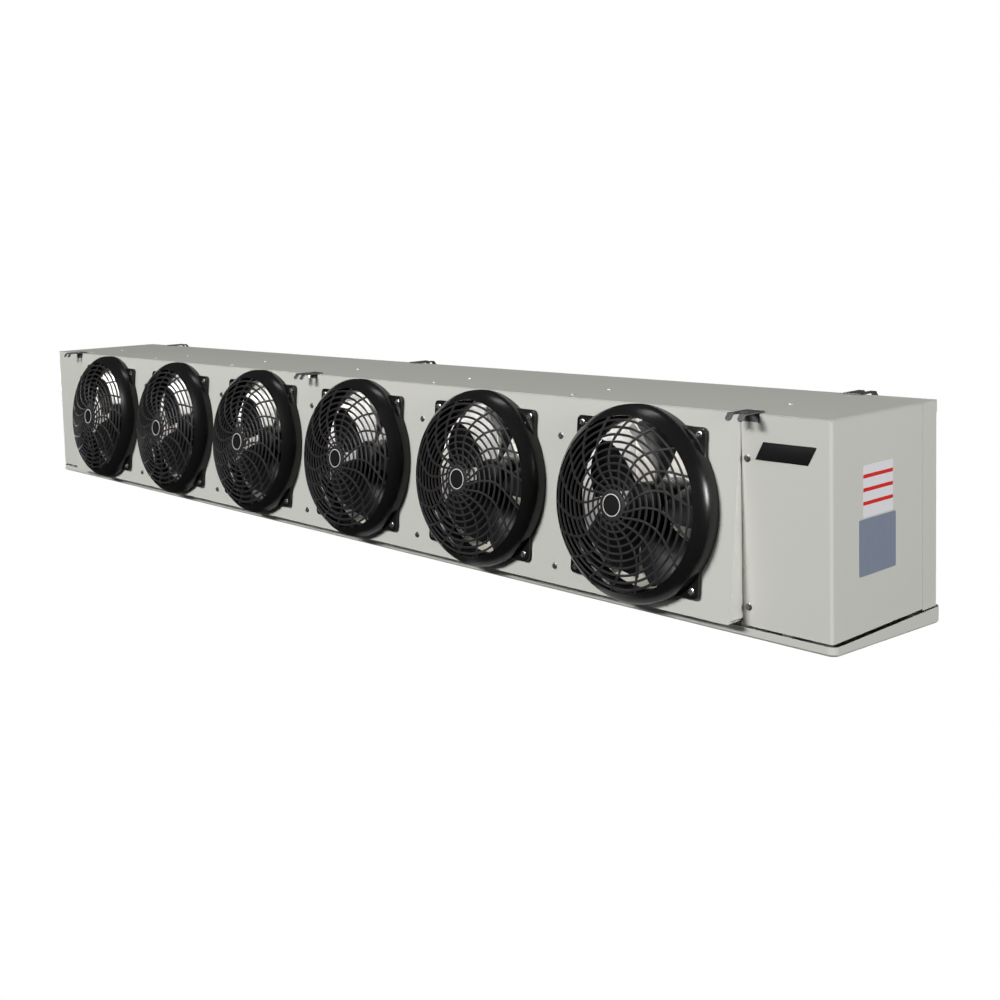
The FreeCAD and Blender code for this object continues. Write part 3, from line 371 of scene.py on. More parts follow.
def spin(degrees, axis):
    return Matrix.Rotation(math.radians(degrees), 4, axis)


def polar(radius, degrees):
    """Point of the plane at a radius and an angle."""
    return radius * math.cos(math.radians(degrees)), radius * math.sin(math.radians(degrees))


def read_off(table, value):
    """Value read off a table of (place, value) pairs, in straight steps."""
    rows = sorted(table)
    for (low, first), (high, second) in zip(rows, rows[1:]):
        if low <= value <= high:
            return first + (second - first) * (value - low) / (high - low)
    return rows[0][1] if value < rows[0][0] else rows[-1][1]


# Mesh tools
def bridge(mesh, lower, upper):
    """Faces between two closed rings, either of which may be a single point."""
    if len(lower) == 1 and len(upper) == 1:
        return
    count = max(len(lower), len(upper))
    for index in range(count):
        after = (index + 1) % count
        corners = []
        for ring, order in ((lower, (index, after)), (upper, (after, index))):
            corners += ring if len(ring) == 1 else [ring[order[0]], ring[order[1]]]
        mesh.faces.new(corners)


def lathe(mesh, profile, steps):
    """Turn a closed run of (radius, height) points in millimetres round the Z axis."""
    rings = []
    for radius, height in profile:
        turns = [360 * step / steps for step in range(steps if radius else 1)]
        rings.append([mesh.verts.new(Vector((*polar(radius, turn), height)) * MM)
                      for turn in turns])
    for lower, upper in zip(rings, rings[1:] + rings[:1]):
        bridge(mesh, lower, upper)


def tube(mesh, points, radius, sides):
    """Round tube along a run of points in metres, closed at both ends."""
    rings = []
    side = None
    for index, point in enumerate(points):
        before = points[max(index - 1, 0)]
        after = points[min(index + 1, len(points) - 1)]
        along = (after - before).normalized()
        if side is None:
            side = along.orthogonal().normalized()
        side = (side - along * side.dot(along)).normalized()
        other = along.cross(side)
        ring = []
        for step in range(sides):
            x, y = polar(radius, 360 * step / sides)
            ring.append(mesh.verts.new(point + side * x + other * y))
        rings.append(ring)
    for lower, upper in zip(rings, rings[1:]):
        bridge(mesh, lower, upper)
    mesh.faces.new(rings[0][::-1])
    mesh.faces.new(rings[-1])


def slab(mesh, outline, low, high):
    """Flat outline of (x, y) in metres given a thickness along Z."""
    bottom = [mesh.verts.new((x, y, low)) for x, y in outline]
    top = [mesh.verts.new((x, y, high)) for x, y in outline]
    mesh.faces.new(bottom[::-1])
    mesh.faces.new(top)
    bridge(mesh, bottom, top)


def rim_of(grid):
    """Closed run of the points round a grid's edge."""
    left = [row[0] for row in grid]
    right = [row[-1] for row in grid[-2::-1]]
    return left + grid[-1][1:] + right + grid[0][-2:0:-1]


def closed_skins(mesh, upper, lower):
    """Faces over two matching grids of points and round their rim."""
    for grid, order in ((upper, 1), (lower, -1)):
        for row, next_row in zip(grid, grid[1:]):
            for column in range(len(row) - 1):
                corners = (row[column], next_row[column], next_row[column + 1], row[column + 1])
                mesh.faces.new(corners[::order])
    bridge(mesh, rim_of(upper), rim_of(lower))


def rounded_rectangle(width, height, radius, steps=6):
    """Outline of a rectangle with round corners, centred on the origin."""
    outline = []
    for quarter, (x, y) in enumerate(((1, 1), (-1, 1), (-1, -1), (1, -1))):
        for step in range(steps + 1):
            across, up = polar(radius, 90 * (quarter + step / steps))
            outline.append((x * (width / 2 - radius) + across, y * (height / 2 - radius) + up))
    return outline


def swept(start, control, end, steps=8):
    """Points of a curve that leaves its start for the control point and ends at the end."""
    points = []
    for step in range(steps + 1):
        share = step / steps
        weights = ((1 - share) ** 2, 2 * share * (1 - share), share ** 2)
        points.append(tuple(sum(weight * part for weight, part in zip(weights, parts))
                            for parts in zip(start, control, end)))
    return points


# Pieces
def linked(name, data):
    """Object of a mesh, camera or lamp, in the scene."""
    piece = bpy.data.objects.new(name, data)
    bpy.context.scene.collection.objects.link(piece)
    return piece


def cast(mesh, name):
    """Object from a bmesh, which is freed."""
    data = bpy.data.meshes.new(name)
    mesh.to_mesh(data)
    mesh.free()
    return linked(name, data)


def settle(mesh, name, place=None):
    """Turn a bmesh into an object at the origin, with faces outwards."""
    bmesh.ops.remove_doubles(mesh, verts=mesh.verts, dist=1e-7)
    bmesh.ops.recalc_face_normals(mesh, faces=mesh.faces)
    if place is not None:
        bmesh.ops.transform(mesh, matrix=place, verts=mesh.verts)
    return cast(mesh, name)


def turned_piece(name, profile, steps):
    mesh = bmesh.new()
    lathe(mesh, profile, steps)
    return settle(mesh, name)


def line_piece(name, points, edges=()):
    """Loose points and the edges between them."""
    data = bpy.data.meshes.new(name)
    data.from_pydata([tuple(point) for point in points], edges, [])
    return linked(name, data)


def joined(pieces, name):
    """One object from several."""
    mesh = bmesh.new()
    for piece in pieces:
        mesh.from_mesh(piece.data)
        bpy.data.objects.remove(piece)
    return cast(mesh, name)


def at_fans(**masters):
    """Copies of each named master piece at the fans, with their place in their mesh."""
    copies = {name: [] for name in masters}
    for number in range(FAN_COUNT):
        for name, master in masters.items():
            data = master.data.copy()
            data.transform(fan_place(number))
            data.name = name + "_" + str(number + 1)
            copies[name].append(linked(data.name, data))
    for master in masters.values():
        bpy.data.objects.remove(master)
    return list(copies.values())


def baked(piece):
    """Apply a piece's modifiers and leave a plain mesh."""
    bpy.context.view_layer.update()
    graph = bpy.context.evaluated_depsgraph_get()
    data = bpy.data.meshes.new_from_object(piece.evaluated_get(graph),
                                           preserve_all_data_layers=True, depsgraph=graph)
    piece.modifiers.clear()
    piece.data = data
    return piece


def round_edges(piece, width, segments):
    """Round the piece's edges and apply it."""
    bevel = piece.modifiers.new("edges", "BEVEL")
    bevel.width = width
    bevel.segments = segments
    bevel.limit_method = "ANGLE"
    bevel.angle_limit = math.radians(30)
    return baked(piece)


def smoothed(piece, angle=32.0):
    """Smooth shading up to an angle between faces."""
    piece.data.shade_smooth()
    piece.data.set_sharp_from_angle(angle=math.radians(angle))
    return piece


def fit_out(piece, finish, stands_for=(), body="cabinet"):
    """Give a finished piece its material, its body and the nodes that it stands for."""
    piece.data.materials.clear()
    piece.data.materials.append(finishes[finish])
    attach(piece, body)
    if stands_for:
        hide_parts(*stands_for)


def node_mesh(node):
    """A node's own mesh with its loose triangles merged."""
    mesh = bmesh.new()
    mesh.from_mesh(frame["nodes"][node].data)
    bmesh.ops.remove_doubles(mesh, verts=mesh.verts, dist=1e-6)
    return mesh


# Rounding of folds and of cut edges, in metres
PIPE_EDGES = (0.0012, 0.0004)
HANGER_EDGES = (0.0008, 0.0006)
PAN_EDGES = (0.0015, 0.0004)
TERMINAL_EDGES = (0.0006, 0.0003)
SHARP_FOLD = math.radians(35)


def softened(node, fold, edge):
    """Copy of a node with its folds rounded and its cut edges broken."""
    mesh = node_mesh(node)
    bmesh.ops.dissolve_limit(mesh, angle_limit=math.radians(0.5), verts=mesh.verts,
                             edges=mesh.edges)
    weight = mesh.edges.layers.float.new("bevel_weight_edge")
    for line in mesh.edges:
        if len(line.link_faces) != 2 or abs(line.calc_face_angle_signed(0.0)) < SHARP_FOLD:
            continue
        depth = min(face.calc_area() for face in line.link_faces) / line.calc_length()
        wide = depth > 4 * fold and line.calc_length() > 6 * fold
        line[weight] = 1.0 if wide else edge / fold
    piece = cast(mesh, node + "_finished")
    bevel = piece.modifiers.new("edges", "BEVEL")
    bevel.width = fold
    bevel.segments = 3
    bevel.limit_method = "WEIGHT"
    weighted = piece.modifiers.new("shading", "WEIGHTED_NORMAL")
    weighted.keep_sharp = True
    piece.data.shade_smooth()
    baked(piece)
    # Sheets inside the cabinet take the darker zinc, which is painted shade
    finish = "bulkhead_sheet" if node in SHADED_INSIDE_SHEETS else SLOT_FINISH[slots[node]]
    fit_out(piece, finish, (node,), body_of[node])


# Geometry node trees
def open_tree(name, **sizes):
    """Geometry tree with a geometry socket and one named input for each size."""
    tree = bpy.data.node_groups.new(name, "GeometryNodeTree")
    tree.interface.new_socket("Geometry", in_out="INPUT", socket_type="NodeSocketGeometry")
    for label, kind in sizes.items():
        label = label.replace("_", " ").title()
        tree.interface.new_socket(label, in_out="INPUT", socket_type="NodeSocket" + kind)
    tree.interface.new_socket("Geometry", in_out="OUTPUT", socket_type="NodeSocketGeometry")
    recipe = Recipe(tree)
    return recipe, recipe.node("NodeGroupInput").outputs


def close_tree(recipe, geometry, finish):
    """End a geometry tree in real, finished geometry."""
    real = recipe.result("GeometryNodeRealizeInstances", {"Geometry": geometry})
    dressed = recipe.result("GeometryNodeSetMaterial", {
        "Geometry": real, "Material": finishes[finish]})
    recipe.node("NodeGroupOutput", {}, {0: dressed})
    return recipe.tree


def grown(piece, tree, **sizes):
    """Run a geometry tree on a piece with its named inputs set, and leave a plain mesh."""
    modifier = piece.modifiers.new("pattern", "NODES")
    modifier.node_group = tree
    for item in tree.interface.items_tree:
        label = item.name.lower().replace(" ", "_")
        if item.in_out == "INPUT" and label in sizes:
            modifier[item.identifier] = sizes[label]
    return baked(piece)


def bars(recipe, curve, sizes, **caps):
    """Bars with cut corners along level curves."""
    flat = recipe.result("GeometryNodeCurvePrimitiveQuadrilateral", {
        "Width": sizes["Bar Width"], "Height": sizes["Bar Depth"]}, {"mode": "RECTANGLE"})
    corner = recipe.amount(sizes["Bar Width"]) * 0.3
    cut = recipe.node("GeometryNodeFilletCurve", {}, {"Curve": flat, "Radius": corner})
    cut.mode = "BEZIER"
    section = recipe.result("GeometryNodeResampleCurve", {"Curve": cut.outputs[0], "Count": 8})
    level = recipe.result("GeometryNodeSetCurveNormal", {"Curve": curve}, {"mode": "Z_UP"})
    return recipe.result("GeometryNodeCurveToMesh", {
        "Curve": level, "Profile Curve": section, **caps})


def rib_tree():
    """Ribs of a guard: one curved rib repeated round the axis."""
    recipe, sizes = open_tree("guard_ribs", rib_count="Int", bar_width="Float", bar_depth="Float")
    curve = recipe.result("GeometryNodeMeshToCurve", {"Mesh": sizes["Geometry"]})
    rib = bars(recipe, curve, sizes, **{"Fill Caps": True})
    seats = recipe.result("GeometryNodePoints", {"Count": sizes["Rib Count"]})
    step = recipe.amount(recipe.result("GeometryNodeInputIndex"))
    turn = step * (2 * math.pi) / recipe.amount(sizes["Rib Count"])
    ribs = recipe.result("GeometryNodeInstanceOnPoints", {
        "Points": seats, "Instance": rib,
        "Rotation": recipe.result("ShaderNodeCombineXYZ", {"Z": turn})})
    return close_tree(recipe, ribs, "grille_plastic")


def ring_tree():
    """Rings of a guard: each seat at (radius, 0, height) grows one ring."""
    recipe, sizes = open_tree("guard_rings", bar_width="Float", bar_depth="Float")
    place = recipe.result("GeometryNodeInputPosition")
    parts = recipe.node("ShaderNodeSeparateXYZ", {}, {0: place}).outputs
    kept = recipe.result("GeometryNodeStoreNamedAttribute", {
        "Geometry": sizes["Geometry"], "Name": "ring_radius", "Value": parts["X"]},
        {"data_type": "FLOAT", "domain": "POINT"})
    centre = recipe.result("ShaderNodeCombineXYZ", {"Z": parts["Z"]})
    seats = recipe.result("GeometryNodeSetPosition", {"Geometry": kept, "Position": centre})
    points = recipe.result("GeometryNodeMeshToPoints", {"Mesh": seats})
    radius = recipe.result("GeometryNodeInputNamedAttribute", {"Name": "ring_radius"},
                           {"data_type": "FLOAT"})
    circle = recipe.result("GeometryNodeCurvePrimitiveCircle", {
        "Resolution": RING_SEGMENTS, "Radius": 1.0})
    rings = recipe.result("GeometryNodeInstanceOnPoints", {
        "Points": points, "Instance": circle,
        "Scale": recipe.result("ShaderNodeCombineXYZ", {"X": radius, "Y": radius, "Z": 1.0})})
    curves = recipe.result("GeometryNodeRealizeInstances", {"Geometry": rings})
    return close_tree(recipe, bars(recipe, curves, sizes), "grille_plastic")


def stack_tree():
    """Coil: one fin repeated along X."""
    recipe, sizes = open_tree("fin_stack", fin_count="Int", fin_pitch="Float")
    offset = recipe.result("ShaderNodeCombineXYZ", {"X": sizes["Fin Pitch"]})
    line = recipe.result("GeometryNodeMeshLine", {"Count": sizes["Fin Count"], "Offset": offset})
    fins = recipe.result("GeometryNodeInstanceOnPoints", {
        "Points": line, "Instance": sizes["Geometry"]})
    return close_tree(recipe, fins, "fin_aluminium")


def fastener_tree(head, finish):
    """Heads of screws or rivets: one on each seat, square to it, each turned its own way."""
    recipe, sizes = open_tree(head.name + "_pattern", seed="Int")
    facing = recipe.result("GeometryNodeInputNamedAttribute", {"Name": "facing"},
                           {"data_type": "FLOAT_VECTOR"})
    square = recipe.result("FunctionNodeAlignEulerToVector", {"Vector": facing}, {"axis": "Z"})
    shape = recipe.node("GeometryNodeObjectInfo", {}, {"Object": head}).outputs["Geometry"]
    points = recipe.result("GeometryNodeMeshToPoints", {"Mesh": sizes["Geometry"]})
    heads = recipe.result("GeometryNodeInstanceOnPoints", {
        "Points": points, "Instance": shape, "Rotation": square})
    chance = recipe.node("FunctionNodeRandomValue", {"data_type": "FLOAT"}, {
        "Min": 0.0, "Max": 6.28, "Seed": sizes["Seed"]})
    turned = recipe.result("GeometryNodeRotateInstances", {
        "Instances": heads, "Local Space": True,
        "Rotation": recipe.result("ShaderNodeCombineXYZ", {"Z": chance.outputs[1]})})
    return close_tree(recipe, turned, finish)


# Guard form, in millimetres out of the panel along a fan's axis
GUARD_OUTSIDE = ((178, 0), (177.8, 9), (177.2, 17), (175.6, 23), (172.6, 28.6), (168.6, 33.6),
                 (164, 38.2), (160, 41.8), (157, 44.6))
GUARD_DOME = ((157, 44.6), (149, 49), (137, 52.8), (120, 57), (100, 61), (80, 64.2), (60, 66.8),
              (40, 68.8), (27, 69.8))
GUARD_SKIRT = ((174.8, 0.3), (174.8, 7.5), (164, 5), (156.5, 1.6), (153.2, -3), (152.2, -10),
               (152.2, -20.5), (153.4, -20.5), (153.4, 0.3))
GUARD_HUB = ((0, 65), (26, 65), (28.2, 66.2), (28.6, 68), (27.6, 69.6), (25.6, 70.2),
             (23.4, 70.2), (23, 69.3), (0, 69.3))
HUB_CAP = ((0, 69.2), (20.3, 69.2), (20.6, 70.4), (20, 71.1), (17, 71.3), (0, 71.45))
HUB_CAP_RING = ((19.8, 70.9), (20.3, 71), (20.3, 71.25), (19.7, 71.5), (18.8, 71.55),
                (18.5, 71.2))
GUARD_WALL = 3
GUARD_SHOULDER = 45
WALL_THINNING = 0.75
WALL_DROP = 1.3
GUARD_SEGMENTS = 144
HUB_SEGMENTS = 72
CAP_SEGMENTS = 64
RING_SEGMENTS = 108

# Ears in millimetres and degrees: their screws' pitch, their form and where they leave the wall
EAR_PITCH = 269
EAR_REACH = EAR_PITCH / 2 + 13
EAR_CORNER = 10
EAR_THICKNESS = 9
EAR_ROUNDING = 1.6
EAR_WALL = 176
EAR_ROOT = 165
EAR_LEAVES = 24
EAR_BEND = 14
EAR_BEND_IN = 1.5
EAR_STRAIGHT = 8.25

# Ribs: turn in degrees at each radius, their ends, and how far the bars lie under the dome
RIB_LEAN = ((27, -23), (34, -16), (40, -10.5), (46, -6.5), (54, -3), (62, -0.6), (72, 0.4),
            (82, 0.3), (92, -0.5), (102, -2.4), (112, -5), (122, -8.2), (132, -11.4),
            (142, -14.6), (151, -17.2), (159, -19.2))
RIB_PHASE = 3
RIB_START = 26
RIB_END = 157
RIB_DIP = 150
RIB_DIP_SLOPE = 0.16
RIB_STEPS = 34
BAR_SINK = 1.9
RING_BAR_DEPTH = 0.86


def guard_band():
    """Outer wall and shoulder of a guard, its skirt inside the collar and its four ears."""
    mesh = bmesh.new()
    inside = []
    for radius, height in reversed(GUARD_OUTSIDE):
        lean = min(1.0, height / GUARD_SHOULDER)
        inside.append((radius - GUARD_WALL * (1.0 - WALL_THINNING * lean),
                       max(height - GUARD_WALL * WALL_DROP * lean, 0.0)))
    lathe(mesh, GUARD_OUTSIDE + tuple(inside), GUARD_SEGMENTS)
    lathe(mesh, GUARD_SKIRT, GUARD_SEGMENTS)
    band = settle(mesh, "guard_band")
    ears = bmesh.new()
    for x_side, y_side in ((1, 1), (-1, 1), (-1, -1), (1, -1)):
        slab(ears, ear_outline(x_side, y_side), 0.0, EAR_THICKNESS * MM)
    ear_set = round_edges(settle(ears, "guard_ears"), EAR_ROUNDING * MM, 3)
    return joined([band, ear_set], "guard_body")


def ear_outline(x_side, y_side):
    """Outline of one ear: a round corner whose sides sweep back into the guard's wall."""
    start = polar(EAR_WALL, EAR_LEAVES)
    sweep = swept(start, (EAR_REACH - EAR_BEND_IN, start[1] + EAR_BEND),
                  (EAR_REACH, EAR_PITCH / 2 - EAR_STRAIGHT))
    middle = EAR_REACH - EAR_CORNER
    corner = []
    for step in range(9):
        x, y = polar(EAR_CORNER, 90 * step / 8)
        corner.append((middle + x, middle + y))
    run = sweep + corner + [(y, x) for x, y in reversed(sweep)]
    run += [polar(EAR_ROOT, angle) for angle in (90 - EAR_LEAVES, 45, EAR_LEAVES)]
    points = [(x * x_side * MM, y * y_side * MM) for x, y in run]
    return points if x_side * y_side > 0 else points[::-1]


def grille_pattern(sizes):
    """Domed grille of one guard on its own axis: ribs, rings and hub."""
    rib_line = []
    for step in range(RIB_STEPS + 1):
        radius = RIB_START + (RIB_END - RIB_START) * step / RIB_STEPS
        x, y = polar(radius, read_off(RIB_LEAN, radius) + RIB_PHASE)
        dip = max(0.0, radius - RIB_DIP) * RIB_DIP_SLOPE
        rib_line.append(Vector((x, y, read_off(GUARD_DOME, radius) - BAR_SINK - dip)) * MM)
    ribs = line_piece("guard_rib_set", rib_line,
                      [(index, index + 1) for index in range(RIB_STEPS)])
    grown(ribs, rib_tree(), rib_count=sizes.rib_count, bar_width=sizes.bar_width,
          bar_depth=sizes.bar_depth)
    radii = [sizes.first_ring + ring * sizes.ring_pitch for ring in range(sizes.ring_count)]
    rings = line_piece("guard_ring_set", [
        (radius, 0.0, (read_off(GUARD_DOME, radius / MM) - BAR_SINK) * MM) for radius in radii])
    grown(rings, ring_tree(), bar_width=sizes.bar_width,
          bar_depth=sizes.bar_depth * RING_BAR_DEPTH)
    hub = turned_piece("guard_hub", GUARD_HUB, HUB_SEGMENTS)
    return joined([ribs, rings, hub], "grille_master")


# Fan wheel form, in millimetres and degrees; blades run from root to tip and from edge to edge
WHEEL_HUB = ((0, -8.5), (16, -8.8), (26, -10.2), (33, -13), (36.6, -17), (37.6, -22), (38, -50),
             (35.6, -51), (34.6, -50), (34, -26), (9, -25), (9, -48), (0, -48))
WHEEL_SHAFT = ((0, -40), (4, -40), (4, -87), (0, -87.5))
BLADE_COUNT = 5
BLADE_SUNK = 35
BLADE_ROOT = 36
BLADE_TIP = 149
BLADE_ROWS = 8
BLADE_COLUMNS = 12
BLADE_SPAN = 44
BLADE_WIDENING = 12
TIP_NARROWING = 7
TIP_STARTS = 0.72
BLADE_SWEEP = 16
SWEEP_POWER = 1.4
BLADE_DROP = 36
BLADE_CAMBER = 7.5
BLADE_FRONT = -18
EDGE_THICKNESS = 1.1
BLADE_SWELL = 1.5


def blade_point(turn, radius, share, side):
    """Point of a blade's upper or lower skin on the fan's axis, in metres."""
    reach = max(0.0, (radius - BLADE_ROOT) / (BLADE_TIP - BLADE_ROOT))
    tip = max(0.0, reach - TIP_STARTS) / (1 - TIP_STARTS)
    span = BLADE_SPAN + BLADE_WIDENING * reach - TIP_NARROWING * tip
    angle = turn + BLADE_SWEEP * reach ** SWEEP_POWER + (share - 0.5) * span
    arch = math.sin(math.pi * share)
    thickness = EDGE_THICKNESS + BLADE_SWELL * arch * (1 - 0.5 * reach)
    height = BLADE_FRONT - share * BLADE_DROP + BLADE_CAMBER * arch + side * thickness / 2
    return Vector((*polar(radius, angle), height)) * MM


def wheel_pattern():
    """Five-bladed fan wheel with its domed hub and shaft."""
    mesh = bmesh.new()
    lathe(mesh, WHEEL_HUB, 64)
    for blade in range(BLADE_COUNT):
        turn = 360 / BLADE_COUNT * blade
        skins = []
        for side in (1, -1):
            grid = []
            for row in range(BLADE_ROWS + 1):
                radius = BLADE_SUNK + (BLADE_TIP - BLADE_SUNK) * row / BLADE_ROWS
                grid.append([mesh.verts.new(blade_point(turn, radius, column / BLADE_COLUMNS, side))
                             for column in range(BLADE_COLUMNS + 1)])
            skins.append(grid)
        closed_skins(mesh, *skins)
    lathe(mesh, WHEEL_SHAFT, 32)
    return settle(mesh, "wheel_master")


# Camera fitted to the photograph: place in metres, turns in degrees
CAMERA_PLACE = (2.48315, -1.91399, 0.27611)
CAMERA_HEADING = 48.5007
CAMERA_PITCH = -4.8203
CAMERA_ROLL = -1.6826
CAMERA_LENS = {"sensor_width": 36.0, "lens": 45.978, "shift_x": 0.04616, "shift_y": -0.14053,
               "clip_end": 100.0}

# Soft lights: name, place, point lit, width, height (none where square), watts
SOFTBOXES = (
    ("key_softbox", (-0.9, -7.0, 3.3), (0.2, 0.0, -0.2), 2.6, 1.0, 572.0),
    ("side_softbox", (6.2, -0.6, 1.2), (1.3, 0.0, -0.2), 1.4, None, 207.0),
    ("back_softbox", (-1.4, 7.0, -0.8), (0.0, 0.2, -0.2), 2.0, None, 300.0),
    ("left_softbox", (-6.4, 0.3, -0.9), (-1.4, 0.0, -0.2), 1.4, None, 130.0),
    ("under_softbox", (0.0, 0.9, -2.1), (0.0, 0.0, -0.4), 3.0, None, 12.0),
    ("top_softbox", (-0.6, 0.3, 4.0), (0.4, 0.0, -0.2), 1.8, 0.7, 19.0),
)

# Small lamp behind each fan: place and point lit beside the fan, width, height, watts
PLENUM_LAMP = ((0.10, -0.07, -0.040), (-0.20, -0.03, -0.11), 0.12, 0.03, 2.3)
PLENUM_SPREAD = 90
PLENUM_TINT = (1.0, 0.98, 0.93)
SKY_TINT = (0.93, 0.96, 1.0)
STUDIO_SWEEP = ((0, -2200), (22000, -2200), (27000, -500), (29000, 5000), (26000, 16000),
                (14000, 26000), (0, 29000))


# Operators
class CoolerStage(bpy.types.Operator):
    """Camera at the photograph's place, soft studio light and a plain pale floor"""
    bl_idname = "cooler.stage"
    bl_label = "Stage"

    def execute(self, context):
        lens = bpy.data.cameras.new("studio_camera")
        for name, value in CAMERA_LENS.items():
            setattr(lens, name, value)
        camera = linked("studio_camera", lens)
        turn = spin(CAMERA_HEADING, "Z") @ spin(90 + CAMERA_PITCH, "X") @ spin(CAMERA_ROLL, "Z")
        camera.matrix_world = Matrix.Translation(CAMERA_PLACE) @ turn
        context.scene.camera = camera
        for softbox in SOFTBOXES:
            self.add_light(*softbox)
        place, target, *size_and_power = PLENUM_LAMP
        for number in range(FAN_COUNT):
            across = Vector((fan_place(number).translation.x, 0.0, 0.0))
            lamp = self.add_light("plenum_lamp_" + str(number + 1), across + Vector(place),
                                  across + Vector(target), *size_and_power)
            lamp.spread = math.radians(PLENUM_SPREAD)
            lamp.color = PLENUM_TINT
        self.add_sky(context.scene)
        context.scene.view_settings.view_transform = "Standard"
        self.add_floor()
        return {"FINISHED"}

    def add_light(self, name, place, target, width, height, power):
        lamp = bpy.data.lights.new(name, "AREA")
        lamp.shape = "RECTANGLE" if height else "SQUARE"
        lamp.size = width
        if height:
            lamp.size_y = height
        lamp.energy = power
        light = linked(name, lamp)
        light.location = place
        way = Vector(target) - Vector(place)
        light.rotation_euler = way.to_track_quat("-Z", "Y").to_euler()
        return lamp

    def add_sky(self, scene):
        """Dim sky, lighter upwards."""
        world = bpy.data.worlds.new("studio_world")
        world.use_nodes = True
        recipe = Recipe(world.node_tree)
        way = recipe.node("ShaderNodeTexCoord").outputs["Generated"]
        parts = recipe.node("ShaderNodeSeparateXYZ", {}, {"Vector": way}).outputs
        lift = (recipe.amount(parts["Z"]) * 0.5 + 0.5).clamped()
        sky = recipe.result("ShaderNodeBackground", {
            "Color": opaque(SKY_TINT), "Strength": lift * 0.03 + 0.02})
        recipe.node("ShaderNodeOutputWorld", {}, {"Surface": sky})
        scene.world = world

    def add_floor(self):
        """Pale floor that rises into a white sweep; only the camera sees it."""
        floor = turned_piece("studio_floor", STUDIO_SWEEP, 48)
        floor.data.materials.append(finishes["studio_floor"])
        for way in ("diffuse", "glossy", "transmission", "shadow"):
            setattr(floor, "visible_" + way, False)


class CoolerCabinet(bpy.types.Operator):
    """Sheet-metal shell, bulkheads and boxes with rounded folds"""
    bl_idname = "cooler.cabinet"
    bl_label = "Cabinet sheets"
    NODES = ("top_panel", "fan_panel", "left_end_cover", "right_end_cover", "left_rear_corner",
             "right_rear_corner", "left_end_plate", "right_end_plate", "centre_plate",
             "bay_partitions", "rear_sill", "terminal_box", "terminal_box_lid", "motor_brackets",
             "cabinet_hinge_brackets", "pan_hinge_ears", "pan_clips", "expansion_valve",
             "drain_fitting")

    def execute(self, context):
        sizes = context.scene.cooler_sizes
        for node in self.NODES:
            softened(node, sizes.fold_radius, sizes.cut_edge)
        return {"FINISHED"}


class CoolerGuards(bpy.types.Operator):
    """Moulded fan guards with their ribs, rings, ears and hub caps"""
    bl_idname = "cooler.guards"
    bl_label = "Fan guards"

    def execute(self, context):
        guards, grilles, caps, trims = at_fans(
            guard=guard_band(), grille=grille_pattern(context.scene.cooler_sizes),
            cap=turned_piece("cap_master", HUB_CAP, CAP_SEGMENTS),
            trim=turned_piece("trim_master", HUB_CAP_RING, CAP_SEGMENTS))
        for guard, grille in zip(guards, grilles):
            fit_out(smoothed(guard), "moulded_guard", ("fan_" + guard.name,))
            fit_out(smoothed(grille), "grille_plastic")
        fit_out(smoothed(joined(caps, "hub_caps")), "badge_black",
                ("hub_badges",))
        fit_out(smoothed(joined(trims, "hub_cap_rings")), "badge_trim")
        return {"FINISHED"}


class CoolerWheels(bpy.types.Operator):
    """Fan wheels, each on its own turning body"""
    bl_idname = "cooler.wheels"
    bl_label = "Fan wheels"

    def execute(self, context):
        wheels, = at_fans(wheel=wheel_pattern())
        for number, wheel in enumerate(wheels):
            fit_out(smoothed(wheel, 40.0), "wheel_plastic", ("fan_" + wheel.name,),
                    "fan_" + str(number + 1))
        return {"FINISHED"}


class CoolerMotors(bpy.types.Operator):
    """Fan motors with their end bells and cooling ribs"""
    bl_idname = "cooler.motors"
    bl_label = "Fan motors"
    BOSS = ((4.2, -55.2), (13.6, -55.2), (14, -56), (14, -62.5), (24, -63.2), (38.5, -66),
            (41.6, -69))
    REAR_BELL = ((41.6, -117.4), (38.5, -120.4), (0, -121), (0, -90), (4.2, -90))
    RIB = ((42, 0), (42, -4.4), (40.4, -5), (40.4, -6.8))
    RIB_COUNT = 6
    RIB_PITCH = 7.4
    FIRST_RIB = -72

    def execute(self, context):
        profile = self.BOSS
        for rib in range(self.RIB_COUNT):
            top = self.FIRST_RIB - rib * self.RIB_PITCH
            profile += tuple((radius, top + drop) for radius, drop in self.RIB)
        motors, = at_fans(motor=turned_piece("motor_master", profile + self.REAR_BELL, 64))
        fit_out(smoothed(joined(motors, "motor_cases")), "motor_enamel",
                ("fan_motors",))
        return {"FINISHED"}


